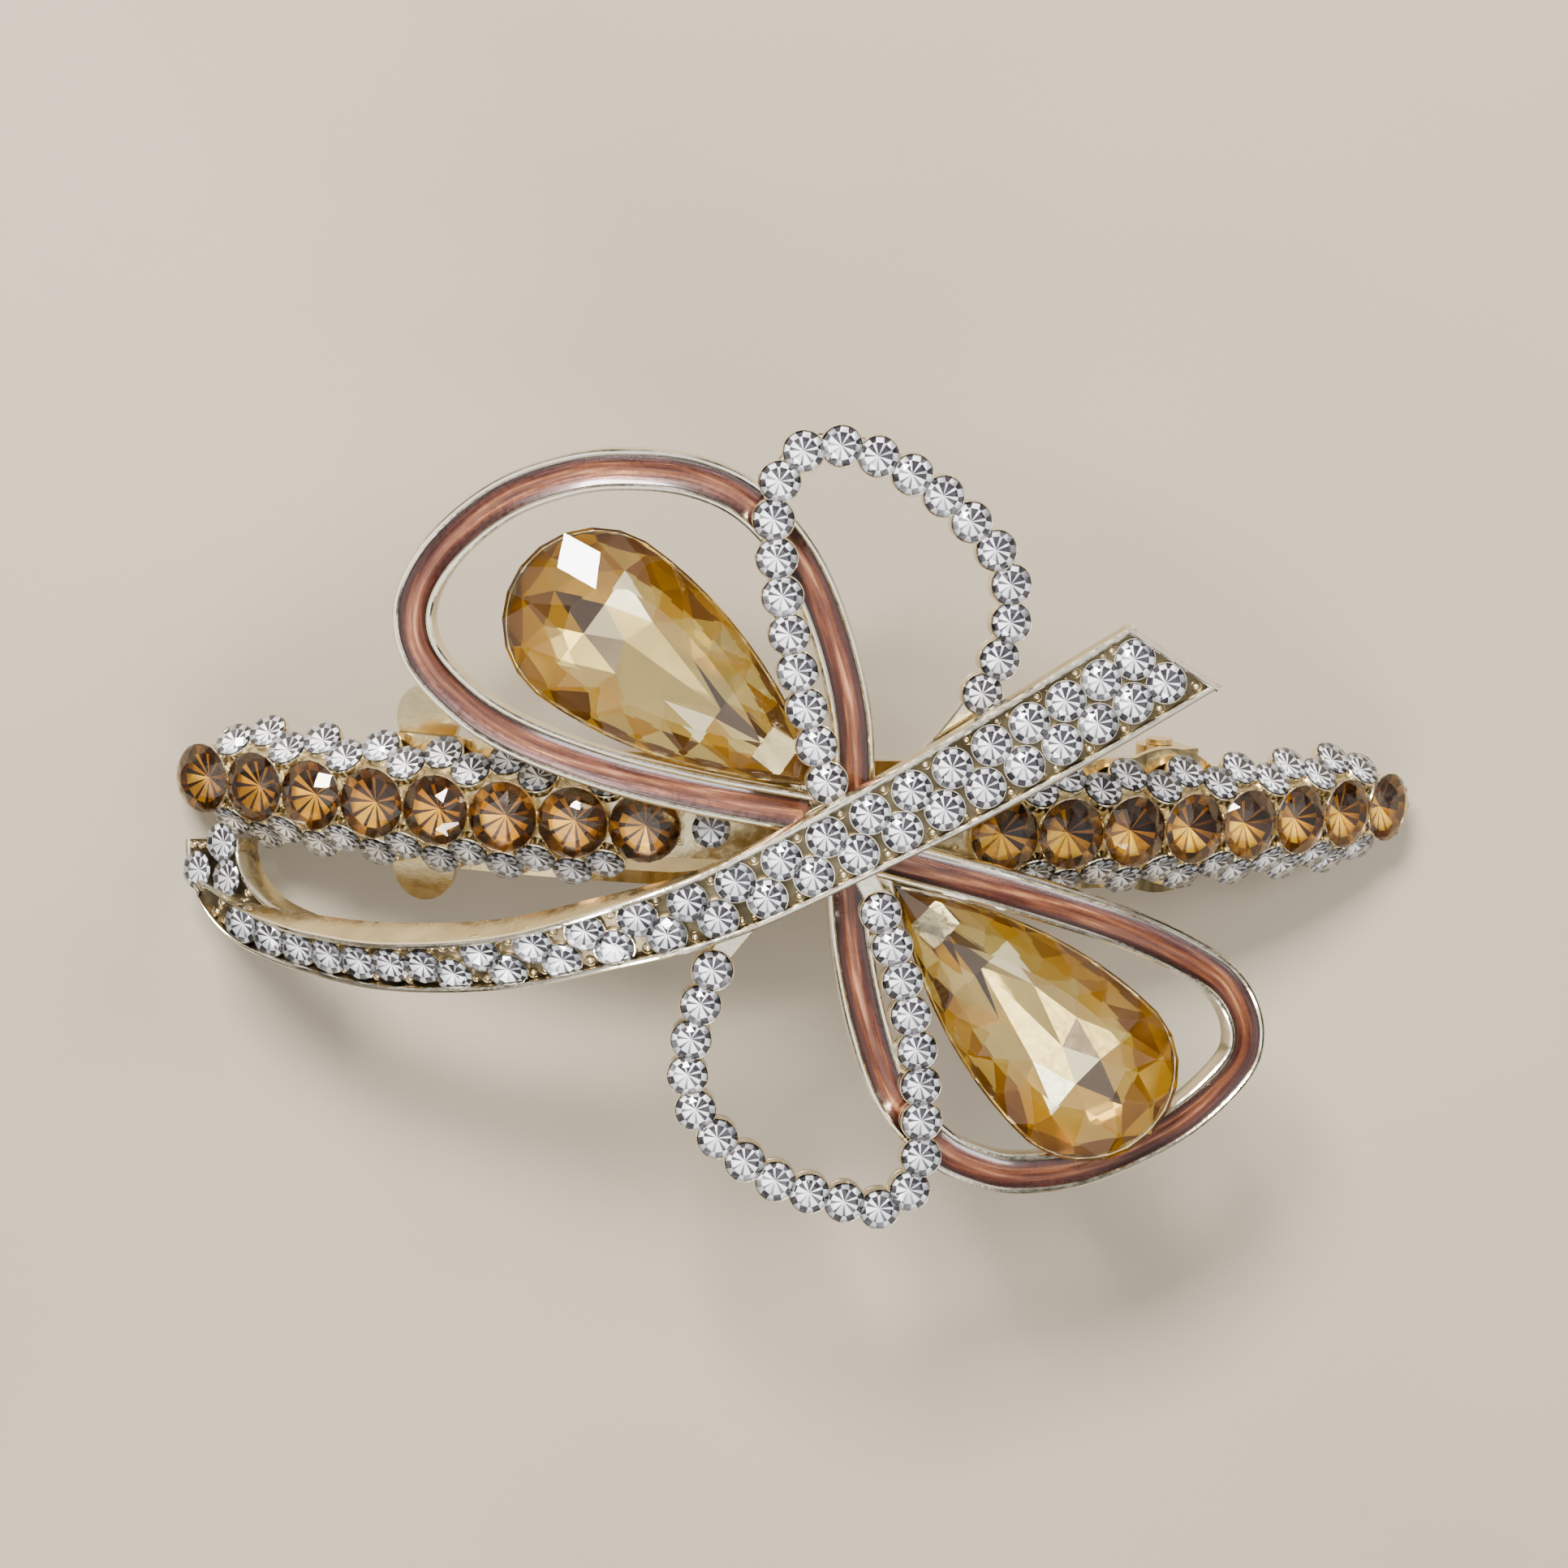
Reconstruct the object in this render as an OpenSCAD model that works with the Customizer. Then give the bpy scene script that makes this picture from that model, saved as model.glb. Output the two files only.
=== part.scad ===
// Bow-shaped rhinestone hair clip: a stone-set ornament on a sprung French clip.
// X runs along the clip, Y across it and Z out of its face. The origin is the middle of the hair gap.

/* [Bow] */
// Height of the amber stones' widest line over the hair gap's centre
face_height = 8.7; // [8.2:0.1:9.5]
// Radius of the arched bar, at the amber stones
bar_radius = 64; // [62:0.5:66]
// Radius of the gentler arch that the loops follow
bow_radius = 110; // [100:5:130]

/* [Arched bar] */
// Angle from the bar's middle to each tip
bar_half_angle = 45.7; // [45.2:0.1:46.2]
// Half width of the bar
bar_half_width = 4.2; // [4.1:0.1:4.4]
// Depth of the bar's underside below the amber line
bar_depth = 3.5; // [3.4:0.1:3.6]
// Amber stones on each half of the bar
amber_count = 8; // [6:1:8]
// Radius of an amber stone
amber_r = 2.45; // [2.3:0.05:2.5]
// Distance between amber stones along the bar
amber_pitch = 5.11; // [5.05:0.01:5.15]
// Distance of the first amber stone from the bar's middle
amber_first = 12.8; // [12.6:0.1:13]

/* [Small clear stones] */
// Radius of the stones on the loops
loop_stone_r = 1.2; // [1.1:0.05:1.25]
// Radius of the stones on the ribbon and its fold
ribbon_stone_r = 1.15; // [1.05:0.05:1.2]
// Radius of the stones on the bar's flanks
flank_stone_r = 1.12; // [1:0.02:1.14]
// Stones on each rhinestone loop
loop_count = 20; // [16:1:20]

/* [Enamelled loops] */
// Width of an enamelled loop's channel
enamel_w = 2.9; // [2.6:0.1:3]
// Height of its rails
enamel_h = 1.6; // [1.4:0.1:1.6]
// Width of one rail
rail_w = 0.5; // [0.4:0.05:0.6]
// Depth of the groove that holds the enamel
groove_depth = 0.8; // [0.6:0.1:0.9]
// Thickness of the enamel in the groove
enamel_t = 0.35; // [0.25:0.05:0.45]

/* [Ribbon] */
// Height of the ribbon's rims over the amber line at the middle
ribbon_top = 5.9; // [5.8:0.1:6.2]
// Width of a rim
rim_w = 0.4; // [0.3:0.05:0.5]
// Depth of the ribbon's floor below its rims
floor_depth = 0.7; // [0.6:0.05:0.8]

/* [Pear stones] */
// Length of a pear stone
pear_l = 26; // [25:0.5:26.5]
// Width of a pear stone
pear_w = 13; // [12.6:0.1:13.2]

/* [Clip] */
// Thickness of the top plate and the lower arm
plate_t = 0.8; // [0.7:0.05:0.8]
// Half width of the top plate
plate_half_w = 4.7; // [4.5:0.1:4.8]
// Half width of the lower arm
arm_half_w = 2.8; // [2.5:0.1:2.8]
// Angle of the hinge pin from the bar's middle
hinge_angle = 26.5; // [26:0.5:27]
// Depth of the hinge pin under the top plate
hinge_drop = 2.4; // [2.3:0.05:2.5]
// Radius of the hinge pin
pin_r = 0.6; // [0.55:0.05:0.65]
// Angle of the catch from the bar's middle
catch_angle = 29; // [28.5:0.5:29.5]

/* [Hidden] */

gold = "#e6d3a3";
clip_gold = "#d9bb6c";
enamel_brown = "#8f4a34";
amber = "#b9772b";
champagne = "#dcb870";
clear_stone = "#dfe3ee";

small = 0.05;
stone_gap = 0.1;
fold_stone_gap = 0.38;
bar_under_r = bar_radius - bar_depth;
plate_r = bar_under_r - small;
plate_in = plate_r - plate_t;

// Amber stones and the ridge they stand on
ridge_half = 2.2;
ridge_r = bar_radius - 0.8;
edge_r = bar_radius - 2.8;
amber_seat_r = bar_radius - 0.25;
flank_tilt = atan2(ridge_r - edge_r, bar_half_width - ridge_half);
// The bar narrows to a waist under the knot
waist_x = 1.5;
waist_half_w = 1.8;
waist_end_x = 10.5;
// Rows of flank stones: [angle of the first, step, count, distance from the slope's middle]
flank_inner = [14.1, 4.6, 7, 0.6];
flank_outer = [16.4, 4.6, 6, -0.6];
// Angle of the single clear stone on the ridge
ridge_stone_angle = -7.3;

// Heights over the loops' arch
enamel_z = 1.1;
strip_z = 2.8;
strip_t = 0.9;
strip_half_w = 0.8;
cup_half_w = 1.25;
seat_z = 0.1;
seat_t = 0.8;

// Centre lines, as [x, y]
enamel_rear = [[1.7, 2], [1.5, 4], [1, 9], [-0.6, 14.6], [-3, 19.5], [-6.5, 23.2], [-10.5, 24.9],
    [-15, 25.2], [-19, 24.6], [-23.4, 22.7], [-27.2, 19.3], [-29.2, 15.5], [-28.8, 12],
    [-26, 8.8], [-22, 6.4], [-16, 4.4], [-9.5, 3], [-3, 2], [-1.8, 1.8]];
enamel_front = [[1, -1.8], [1.3, -3.7], [1.9, -8], [3.3, -13.5], [5.3, -18.3], [8.4, -21.6],
    [11.2, -23.1], [14.5, -23.8], [19.7, -23.2], [26, -20.5], [30.2, -16.9], [31.1, -14.2],
    [30, -11.3], [27.5, -9.1], [22, -6.4], [13.4, -3.6], [5.6, -1.6], [3.6, -1.1]];
strip_rear = [[0.2, 2.6], [-0.6, 4.3], [-2, 8.7], [-3.5, 14], [-4.7, 19.8], [-5, 22.8],
    [-4.5, 25.4], [-2.9, 27.2], [-0.6, 27.5], [1.9, 26.9], [6.3, 24.5], [10.3, 20.8], [11.6, 18.3],
    [11.7, 15.5], [11, 13], [9.9, 10.6], [8, 7.8], [5, 4.4], [3, 1.8]];
strip_front = [[2.3, -2.2], [3.5, -4.7], [5.4, -10], [6.7, -15.6], [7.1, -20.6], [7, -23],
    [6.1, -25], [4.2, -25.9], [1.8, -25.4], [-3, -24], [-7, -21.2], [-8.7, -19.2], [-9.4, -16.8],
    [-9.3, -14.2], [-8, -9.2], [-6.4, -6.6], [-4, -3.8], [-2.4, -1.6]];
// Distances of the first and last stone from the ends of a strip
strip_ends = [1.9, 11.3];
strip_ends_front = [2.8, 9.4];
// Ribbon from its left tip to its cut end: [x, y, width, roll, thickness, slant of the cut]
ribbon_stations = [[-44.1, -6.5, 0.6, 10, 0.8, 0], [-43.2, -7.6, 1.5, 15, 1.2, 0],
    [-41.6, -8.8, 2.4, 20, 1.6, 0], [-39.5, -9.7, 3.1, 25, 2, 0], [-36.4, -10.4, 3.7, 28, 2.4, 0],
    [-30.6, -10.7, 4.4, 28, 2.6, 0], [-22.6, -9.5, 4.6, 22, 2.4, 0], [-15.5, -7.2, 4.8, 15, 2.2, 0],
    [-8.2, -4.4, 5.2, 3, 1.6, 0], [0.1, 0, 5.6, 0, 1.7, 0], [8.2, 4.6, 6.3, 0, 1.7, 0],
    [16.6, 9.7, 6.8, 0, 1.7, -0.15], [23.2, 13.8, 7, 0, 1.7, -0.5]];
// Thickness of the ribbon over the knot
ribbon_mid_t = 1.7;
// Fold that joins the ribbon's tip to the bar: [x, y, height over the amber line, width]
fold_stations = [[-43.3, -4.3, -16.3, 5.4], [-43.1, -6, -16, 5.4], [-42, -8.2, -14.4, 5],
    [-39.6, -9.9, -12, 4.2], [-36, -10.6, -9.2, 3.4]];
fold_t = 2.2;
// Ribbon rows: [distance of the first stone from the cut end, step, growth of the step, count]
row_rear = [2.6, 2.72, 0.045, 16];
row_front = [1.5, 2.66, 0.047, 17];
row_single = [58.2, 2.55, 0, 7];
row_offset = 0.185;
// Ribbon width from which it carries two rows
two_row_w = 4.5;
// Fold stones: [distance along the fold, distance to the side]
fold_stones_at = [[0.1, 1.4], [1.75, -1.4], [3.8, 1.2]];

// Pear stones: [x, y of the tip, direction of the round end, rise towards it]
pear_rear = [-0.4, 3.6, 146, -4];
pear_front = [4.6, -3.1, -42.5, -0.5];
pear_belly = 0.755;
boss_r = 2.9;

// Clip
hinge_r = plate_in - hinge_drop;
hinge_x = hinge_r * sin(hinge_angle);
hinge_z = hinge_r * cos(hinge_angle) - bar_radius;
running_gap = 0.05;
pin_head_h = 0.35;
barrel_r = 1.5;
barrel_half_l = 3.6;
ear_in = 4.3;
ear_out = 5.1;
ear_r = 1.7;
ear_neck = 1.5;
pad_x = 25.5;
pad_r = 5.3;
plate_left = -31;
arm_radius = 110;
arm_top = -10.9;
arm_tip_x = -32;
leaf_radius = 80;
leaf_top = -5.32;
leaf_t = 0.35;
leaf_half_w = 2.2;
leaf_half_l = 20.5;
leaf_rivet_x = 17.5;
rivet_r = 0.7;
leg_t = 0.5;
leg_half_w = 2.1;
leg_in = 3.35;
leg_depth = 4.5;
wing_r = 2.5;
wing_y = 5.4;
wing_z = -2.7;
wing_root_w = 3.2;
lip_reach = 0.4;
rivet_gap = 0.02;
rivet_head = 0.5;

function unit(v) = v / norm(v);
function arch(x, r) = sqrt(r * r - x * x) - r;
function ribbon_z(x) = ribbon_top - (x > 0 ? 0.0024 : 0.0087) * x * x;

// Smooth curve through the points, with the given number of steps between two points
function blend(a, b, c, d, t) = 0.5 * (2 * b + (c - a) * t + (2 * a - 5 * b + 4 * c - d) * t * t
    + (3 * b - a - 3 * c + d) * t * t * t);
function curve(p, steps) = let (n = len(p) - 1) concat([for (i = [0 : n - 1]) for (k = [0 : steps - 1])
    blend(p[max(i - 1, 0)], p[i], p[i + 1], p[min(i + 2, n)], k / steps)], [p[n]]);
function on_bow(p, dz) = [for (q = p) [q[0], q[1], arch(q[0], bow_radius) + dz]];

// Length along a curve up to each of its points, and the point at a given length
function lengths(c) = [for (i = 0, s = 0; i < len(c); s = s + (i + 1 < len(c) ? norm(c[i + 1] - c[i]) : 0),
    i = i + 1) s];
function spot(c, l, s) = [for (k = [0 : len(c[0]) - 1])
    lookup(s, [for (i = [0 : len(c) - 1]) [l[i], c[i][k]]])];

// Side, up and forward directions at a point whose surface faces away from an arch of radius r
function facing(x, r) = [x / r, 0, sqrt(1 - x * x / r / r)];
function frame_at(t, ref, roll) = let (s = unit(cross(ref, t)), u = cross(t, s))
    [s * cos(roll) + u * sin(roll), u * cos(roll) - s * sin(roll), t];
function heading(c, i) = unit(c[min(i + 1, len(c) - 1)] - c[max(i - 1, 0)]);
function ring(c, f, profile, slant) = [for (q = profile) c + f[0] * q[0] + f[1] * q[1]
    + f[2] * slant * q[0]];

// Cross-sections, as [across, up]
function flat_profile(w, top, bottom) = [[-w, bottom], [w, bottom], [w, top], [-w, top]];
function channel_profile(w, lip, depth, t) = [[-w, -t], [w, -t], [w, -0.12], [w - 0.12, 0],
    [w - lip, 0], [w - lip, -depth], [lip - w, -depth], [lip - w, 0], [0.12 - w, 0], [-w, -0.12]];
function enamel_profile(w, floor) = [[-w, floor], [w, floor], [w, floor + enamel_t + 0.12],
    [w / 2, floor + enamel_t], [-w / 2, floor + enamel_t], [-w, floor + enamel_t + 0.12]];

// Solid through a list of rings that have the same number of points
module skin(rings) {
    m = len(rings[0]);
    n = len(rings);
    sides = [for (i = [0 : n - 2]) for (j = [0 : m - 1]) let (a = i * m, b = a + m, k = (j + 1) % m)
        for (f = [[b + j, b + k, a + k], [b + j, a + k, a + j]]) f];
    first = [for (j = [0 : m - 1]) j];
    last = [for (j = [m - 1 : -1 : 0]) (n - 1) * m + j];
    polyhedron(points = [for (r = rings) for (q = r) q], faces = concat([first], sides, [last]));
}

module sweep_on_bow(points, dz, steps, profile) {
    c = on_bow(curve(points, steps), dz);
    skin([for (i = [0 : len(c) - 1])
        ring(c[i], frame_at(heading(c, i), facing(c[i][0], bow_radius), 0), profile, 0)]);
}

// Stone with a straight girdle and a sloped crown, standing on the plane z = 0
module gem(r, girdle, crown) {
    rotate_extrude($fn = 24)
        polygon([[0, 0], [r, 0], [r, girdle], [0.55 * r, girdle + crown], [0, girdle + crown]]);
}

module place(p, f) {
    multmatrix([[f[0][0], f[1][0], f[2][0], p[0]], [f[0][1], f[1][1], f[2][1], p[1]],
        [f[0][2], f[1][2], f[2][2], p[2]], [0, 0, 0, 1]])
        rotate([-90, 0, 0])
            children();
}

// Band bent round the bar's centre line, from a section drawn as [radius, y]
module bent(from, to) {
    translate([0, 0, -bar_radius])
        rotate([-90, 0, 0])
            rotate([0, 0, from - 90])
                rotate_extrude(angle = to - from, $fn = 240)
                    children();
}

// Moves a piece that stands on the radius r to the angle a along the bar
module at_angle(a, r) {
    translate([0, 0, -bar_radius])
        rotate([0, a, 0])
            translate([0, 0, r])
                children();
}

module lifted() {
    translate([0, 0, face_height])
        children();
}

// ---- Arched bar ----

module bar_outline() {
    tip = bar_radius;
    for (s = [-1, 1])
        polygon([[s * waist_x, -waist_half_w], [s * waist_end_x, -bar_half_width],
            [s * tip, -bar_half_width], [s * tip, bar_half_width],
            [s * waist_end_x, bar_half_width], [s * waist_x, waist_half_w]]);
    square([4 * waist_x, 2 * waist_half_w], center = true);
}

module bar_base() {
    color(gold)
        lifted()
            intersection() {
                bent(-bar_half_angle, bar_half_angle)
                    polygon([[bar_under_r, -bar_half_width + 0.1], [edge_r, -bar_half_width],
                        [ridge_r, -ridge_half], [ridge_r, ridge_half],
                        [edge_r, bar_half_width], [bar_under_r, bar_half_width - 0.1]]);
                translate([0, 0, -bar_radius])
                    linear_extrude(2 * bar_radius)
                        bar_outline();
            }
}

module centre_boss() {
    bottom = ridge_r - bar_radius;
    color(gold)
        lifted()
            translate([0, 0, bottom])
                cylinder(r = boss_r, h = ribbon_top - ribbon_mid_t - 3 * small - bottom, $fn = 48);
}

module amber_row(side) {
    color(amber)
        lifted()
            for (k = [0 : amber_count - 1])
                at_angle(side * (amber_first + k * amber_pitch) / bar_radius * 180 / PI, amber_seat_r)
                    gem(amber_r, 0.5, 0.9);
}

module amber_stones_left() {
    amber_row(-1);
}

module amber_stones_right() {
    amber_row(1);
}

// Single clear stone between the knot and the left amber stones
module ridge_stone() {
    color(clear_stone)
        lifted()
            at_angle(ridge_stone_angle, ridge_r + small)
                gem(flank_stone_r, 0.3, 0.35);
}

// One row of stones on a flank: side is -1 for left, flank is 1 for rear
module flank_row(row, side, flank) {
    middle_y = (bar_half_width + ridge_half) / 2;
    middle_r = (ridge_r + edge_r) / 2;
    for (k = [0 : row[2] - 1])
        at_angle(side * (row[0] + k * row[1]), middle_r)
            translate([0, flank * middle_y, 0])
                rotate([-flank * flank_tilt, 0, 0])
                    translate([0, -flank * row[3], small])
                        gem(flank_stone_r, 0.3, 0.35);
}

module flank_stones(side, flank) {
    color(clear_stone)
        lifted() {
            flank_row(flank_inner, side, flank);
            flank_row(flank_outer, side, flank);
        }
}

module flank_stones_rear_left() {
    flank_stones(-1, 1);
}

module flank_stones_rear_right() {
    flank_stones(1, 1);
}

module flank_stones_front_left() {
    flank_stones(-1, -1);
}

module flank_stones_front_right() {
    flank_stones(1, -1);
}

// ---- Enamelled loops ----

module enamel_frame(points) {
    color(gold)
        lifted()
            sweep_on_bow(points, enamel_z + enamel_h, 4,
                channel_profile(enamel_w / 2, rail_w, groove_depth, enamel_h));
}

module enamel_fill(points) {
    color(enamel_brown)
        lifted()
            sweep_on_bow(points, enamel_z + enamel_h, 4,
                enamel_profile(enamel_w / 2 - rail_w - 0.02, 0.02 - groove_depth));
}

module enamel_frame_rear() {
    enamel_frame(enamel_rear);
}

module enamel_frame_front() {
    enamel_frame(enamel_front);
}

module enamel_fill_rear() {
    enamel_fill(enamel_rear);
}

module enamel_fill_front() {
    enamel_fill(enamel_front);
}

// ---- Rhinestone loops ----

// Bare strip at both ends, and wide enough for the stone cups between them
module stone_strip(points, ends) {
    c = on_bow(curve(points, 4), strip_z + strip_t);
    l = lengths(c);
    total = l[len(l) - 1];
    color(gold)
        lifted()
            skin([for (i = [0 : len(c) - 1]) let (w = l[i] < ends[0] - 1 || l[i] > total - ends[1] + 1
                ? strip_half_w : cup_half_w)
                ring(c[i], frame_at(heading(c, i), facing(c[i][0], bow_radius), 0),
                    flat_profile(w, 0, -strip_t), 0)]);
}

module strip_stones(points, ends) {
    c = on_bow(curve(points, 8), strip_z + strip_t + small);
    l = lengths(c);
    run = l[len(l) - 1] - ends[0] - ends[1];
    color(clear_stone)
        lifted()
            for (k = [0 : loop_count - 1]) {
                s = ends[0] + run * k / (loop_count - 1);
                p = spot(c, l, s);
                t = unit(spot(c, l, s + 0.3) - spot(c, l, s - 0.3));
                place(p, frame_at(t, facing(p[0], bow_radius), 0))
                    gem(loop_stone_r, 0.4, 0.45);
            }
}

module stone_strip_rear() {
    stone_strip(strip_rear, strip_ends);
}

module stone_strip_front() {
    stone_strip(strip_front, strip_ends_front);
}

module strip_stones_rear() {
    strip_stones(strip_rear, strip_ends);
}

module strip_stones_front() {
    strip_stones(strip_front, strip_ends_front);
}

// ---- Pear stones ----

// Half width of the pear at a fraction of its length from the tip
function pear_half(u) = pear_w / 2 * (u > pear_belly
    ? sqrt(max(0, 1 - pow((u - pear_belly) / (1 - pear_belly), 2)))
    : 1 - pow((pear_belly - u) / pear_belly, 2));
function pear_ring(scale_l, scale_w, z) = let (n = 24, mid = 0.56 * pear_l,
    edge = [for (i = [0 : n]) let (u = (1 - cos(180 * i / n)) / 2) [u * pear_l, pear_half(u)]])
    [for (q = concat([for (i = [0 : n]) [edge[i][0], -edge[i][1]]], [for (i = [n - 1 : -1 : 1]) edge[i]]))
        [mid + (q[0] - mid) * scale_l, q[1] * scale_w, z]];

module at_pear(where) {
    translate([where[0], where[1], 0])
        rotate([0, -where[3], where[2]])
            children();
}

module pear_stone(where) {
    bottom = seat_z + seat_t + small;
    color(champagne)
        lifted()
            at_pear(where)
                skin([pear_ring(0.6, 0.6, bottom), pear_ring(1, 1, bottom + 0.7),
                    pear_ring(1, 1, bottom + 1.1), pear_ring(0.62, 0.52, bottom + 2.5)]);
}

// Tray under the stone, and the tongue that carries it from the boss
module pear_seat(where) {
    color(gold)
        lifted()
            at_pear(where) {
                skin([pear_ring(0.8, 0.8, seat_z), pear_ring(0.84, 0.84, seat_z + seat_t)]);
                translate([-3, -1.1, seat_z])
                    cube([9, 2.2, seat_t]);
            }
}

module pear_stone_rear() {
    pear_stone(pear_rear);
}

module pear_stone_front() {
    pear_stone(pear_front);
}

module pear_seat_rear() {
    pear_seat(pear_rear);
}

module pear_seat_front() {
    pear_seat(pear_front);
}

// ---- Ribbon ----

function ribbon_line(st) = [for (q = st) [q[0], q[1], ribbon_z(q[0])]];

// The rims thin out where the stones need the room: the last of the two rows, and the narrow tip
function ribbon_rim(w) = w < 1 ? w / 2 - 0.15
    : min(rim_w, max(0.15, w / 2 - ribbon_stone_r - 2 * small - (w > two_row_w ? row_offset * w : 0)));

module ribbon_band() {
    st = curve(ribbon_stations, 4);
    c = ribbon_line(st);
    color(gold)
        lifted()
            skin([for (i = [0 : len(c) - 1])
                ring(c[i], frame_at(heading(c, i), [0, 0, 1], st[i][3]),
                    channel_profile(st[i][2] / 2, ribbon_rim(st[i][2]), min(floor_depth, st[i][4] / 2),
                        st[i][4]), st[i][5])]);
}

// Stones along the ribbon, counted from its cut end
module ribbon_row(row, offset) {
    st = curve(ribbon_stations, 8);
    c = ribbon_line(st);
    l = lengths(c);
    total = l[len(l) - 1];
    color(clear_stone)
        lifted()
            for (k = [0 : row[3] - 1]) {
                s = total - row[0] - row[1] * k - row[2] * k * k;
                q = spot(st, l, s);
                t = unit(spot(c, l, s + 0.3) - spot(c, l, s - 0.3));
                f = frame_at(t, [0, 0, 1], q[3]);
                place(spot(c, l, s) + f[0] * offset * q[2] + f[1] * (stone_gap - floor_depth), f)
                    gem(ribbon_stone_r, 0.4, 0.4);
            }
}

module ribbon_stones_rear_row() {
    ribbon_row(row_rear, row_offset);
}

module ribbon_stones_front_row() {
    ribbon_row(row_front, -row_offset);
}

module ribbon_stones_single_row() {
    ribbon_row(row_single, 0);
}

function fold_line(st) = [for (q = st) [q[0], q[1], q[2]]];

module ribbon_fold() {
    st = curve(fold_stations, 5);
    c = fold_line(st);
    color(gold)
        lifted()
            skin([for (i = [0 : len(c) - 1])
                ring(c[i], frame_at(heading(c, i), facing(c[i][0], bar_radius), 0),
                    channel_profile(st[i][3] / 2, rim_w, floor_depth / 2, fold_t), 0)]);
}

module fold_stones() {
    c = fold_line(curve(fold_stations, 8));
    l = lengths(c);
    color(clear_stone)
        lifted()
            for (q = fold_stones_at) {
                t = unit(spot(c, l, q[0] + 0.3) - spot(c, l, q[0] - 0.3));
                p = spot(c, l, q[0]);
                f = frame_at(t, facing(p[0], bar_radius), 0);
                place(p + f[0] * q[1] + f[1] * (fold_stone_gap - floor_depth / 2), f)
                    gem(ribbon_stone_r, 0.4, 0.4);
            }
}

// ---- Clip ----

function arc(x, y, r, from, to, n) = [for (k = [0 : n]) let (a = from + (to - from) * k / n)
    [x + r * cos(a), y + r * sin(a)]];

// Square-shouldered plate with rounded corners at the catch and a round pad at the hinge
module plate_outline() {
    corner = 1.5;
    pad_turn = asin(plate_half_w / pad_r) + small;
    polygon(concat(
        arc(pad_x, 0, pad_r, pad_turn - 180, 180 - pad_turn, 40),
        arc(plate_left + corner, plate_half_w - corner, corner, 90, 180, 6),
        arc(plate_left + corner, corner - plate_half_w, corner, 180, 270, 6)));
}

// Ear under the plate that carries one end of the hinge pin
module hinge_ear(y) {
    translate([hinge_x, y, hinge_z])
        rotate([-90, 0, 0])
            cylinder(r = ear_r, h = ear_out - ear_in, $fn = 48);
    at_angle(hinge_angle, hinge_r)
        translate([-ear_neck, y, 0])
            cube([2 * ear_neck, ear_out - ear_in, hinge_drop + plate_t / 2]);
}

module top_plate() {
    color(clip_gold)
        lifted()
            difference() {
                union() {
                    intersection() {
                        bent(-32, 33)
                            translate([plate_in, -6])
                                square([plate_t, 12]);
                        translate([0, 0, -bar_radius])
                            linear_extrude(2 * bar_radius)
                                plate_outline();
                    }
                    hinge_ear(ear_in);
                    hinge_ear(-ear_out);
                }
                translate([hinge_x, -7, hinge_z])
                    rotate([-90, 0, 0])
                        cylinder(r = pin_r + running_gap / 2, h = 14, $fn = 32);
                for (x = [-leaf_rivet_x, leaf_rivet_x])
                    at_angle(asin(x / plate_r), plate_in - 1)
                        cylinder(r = rivet_r + rivet_gap, h = 3, $fn = 32);
                at_angle(-catch_angle, plate_in - 1)
                    cylinder(r = rivet_r + rivet_gap, h = 3, $fn = 32);
            }
}

module hinge_pin() {
    color(clip_gold)
        lifted()
            translate([hinge_x, 0, hinge_z])
                rotate([-90, 0, 0]) {
                    translate([0, 0, -ear_out - pin_head_h])
                        cylinder(r = pin_r, h = 2 * (ear_out + pin_head_h), $fn = 32);
                    for (z = [-ear_out - small - pin_head_h, ear_out + small])
                        translate([0, 0, z])
                            cylinder(r = pin_r + 0.4, h = pin_head_h, $fn = 32);
                }
}

module leaf_shape(radius, top, t, half_w, from, to) {
    intersection() {
        translate([0, half_w, top - radius])
            rotate([90, 0, 0])
                difference() {
                    cylinder(r = radius, h = 2 * half_w, $fn = 240);
                    translate([0, 0, -1])
                        cylinder(r = radius - t, h = 2 * half_w + 2, $fn = 240);
                }
        translate([from, -half_w - 1, top - 20])
            cube([to - from, 2 * half_w + 2, 30]);
    }
}

module tension_leaf() {
    color(clip_gold)
        lifted()
            difference() {
                leaf_shape(leaf_radius, leaf_top, leaf_t, leaf_half_w, -leaf_half_l, leaf_half_l);
                for (x = [-leaf_rivet_x, leaf_rivet_x])
                    at_angle(asin(x / plate_r), plate_in - 2)
                        cylinder(r = rivet_r + rivet_gap, h = 3, $fn = 32);
            }
}

module leaf_rivets() {
    color(clip_gold)
        lifted()
            for (x = [-leaf_rivet_x, leaf_rivet_x])
                at_angle(asin(x / plate_r), 0) {
                    translate([0, 0, plate_in - 1.3])
                        cylinder(r = rivet_r, h = plate_t + 1.25, $fn = 32);
                    translate([0, 0, plate_in - 1.3])
                        cylinder(r = rivet_r + rivet_head, h = 0.4, $fn = 32);
                }
}

module lower_arm() {
    color(clip_gold)
        lifted()
            difference() {
                union() {
                    leaf_shape(arm_radius, arm_top, plate_t, arm_half_w, arm_tip_x, hinge_x + 0.4);
                    translate([hinge_x, -barrel_half_l, hinge_z])
                        rotate([-90, 0, 0])
                            cylinder(r = barrel_r, h = 2 * barrel_half_l, $fn = 48);
                }
                translate([hinge_x, -7, hinge_z])
                    rotate([-90, 0, 0])
                        cylinder(r = pin_r + running_gap, h = 14, $fn = 32);
            }
}

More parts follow.
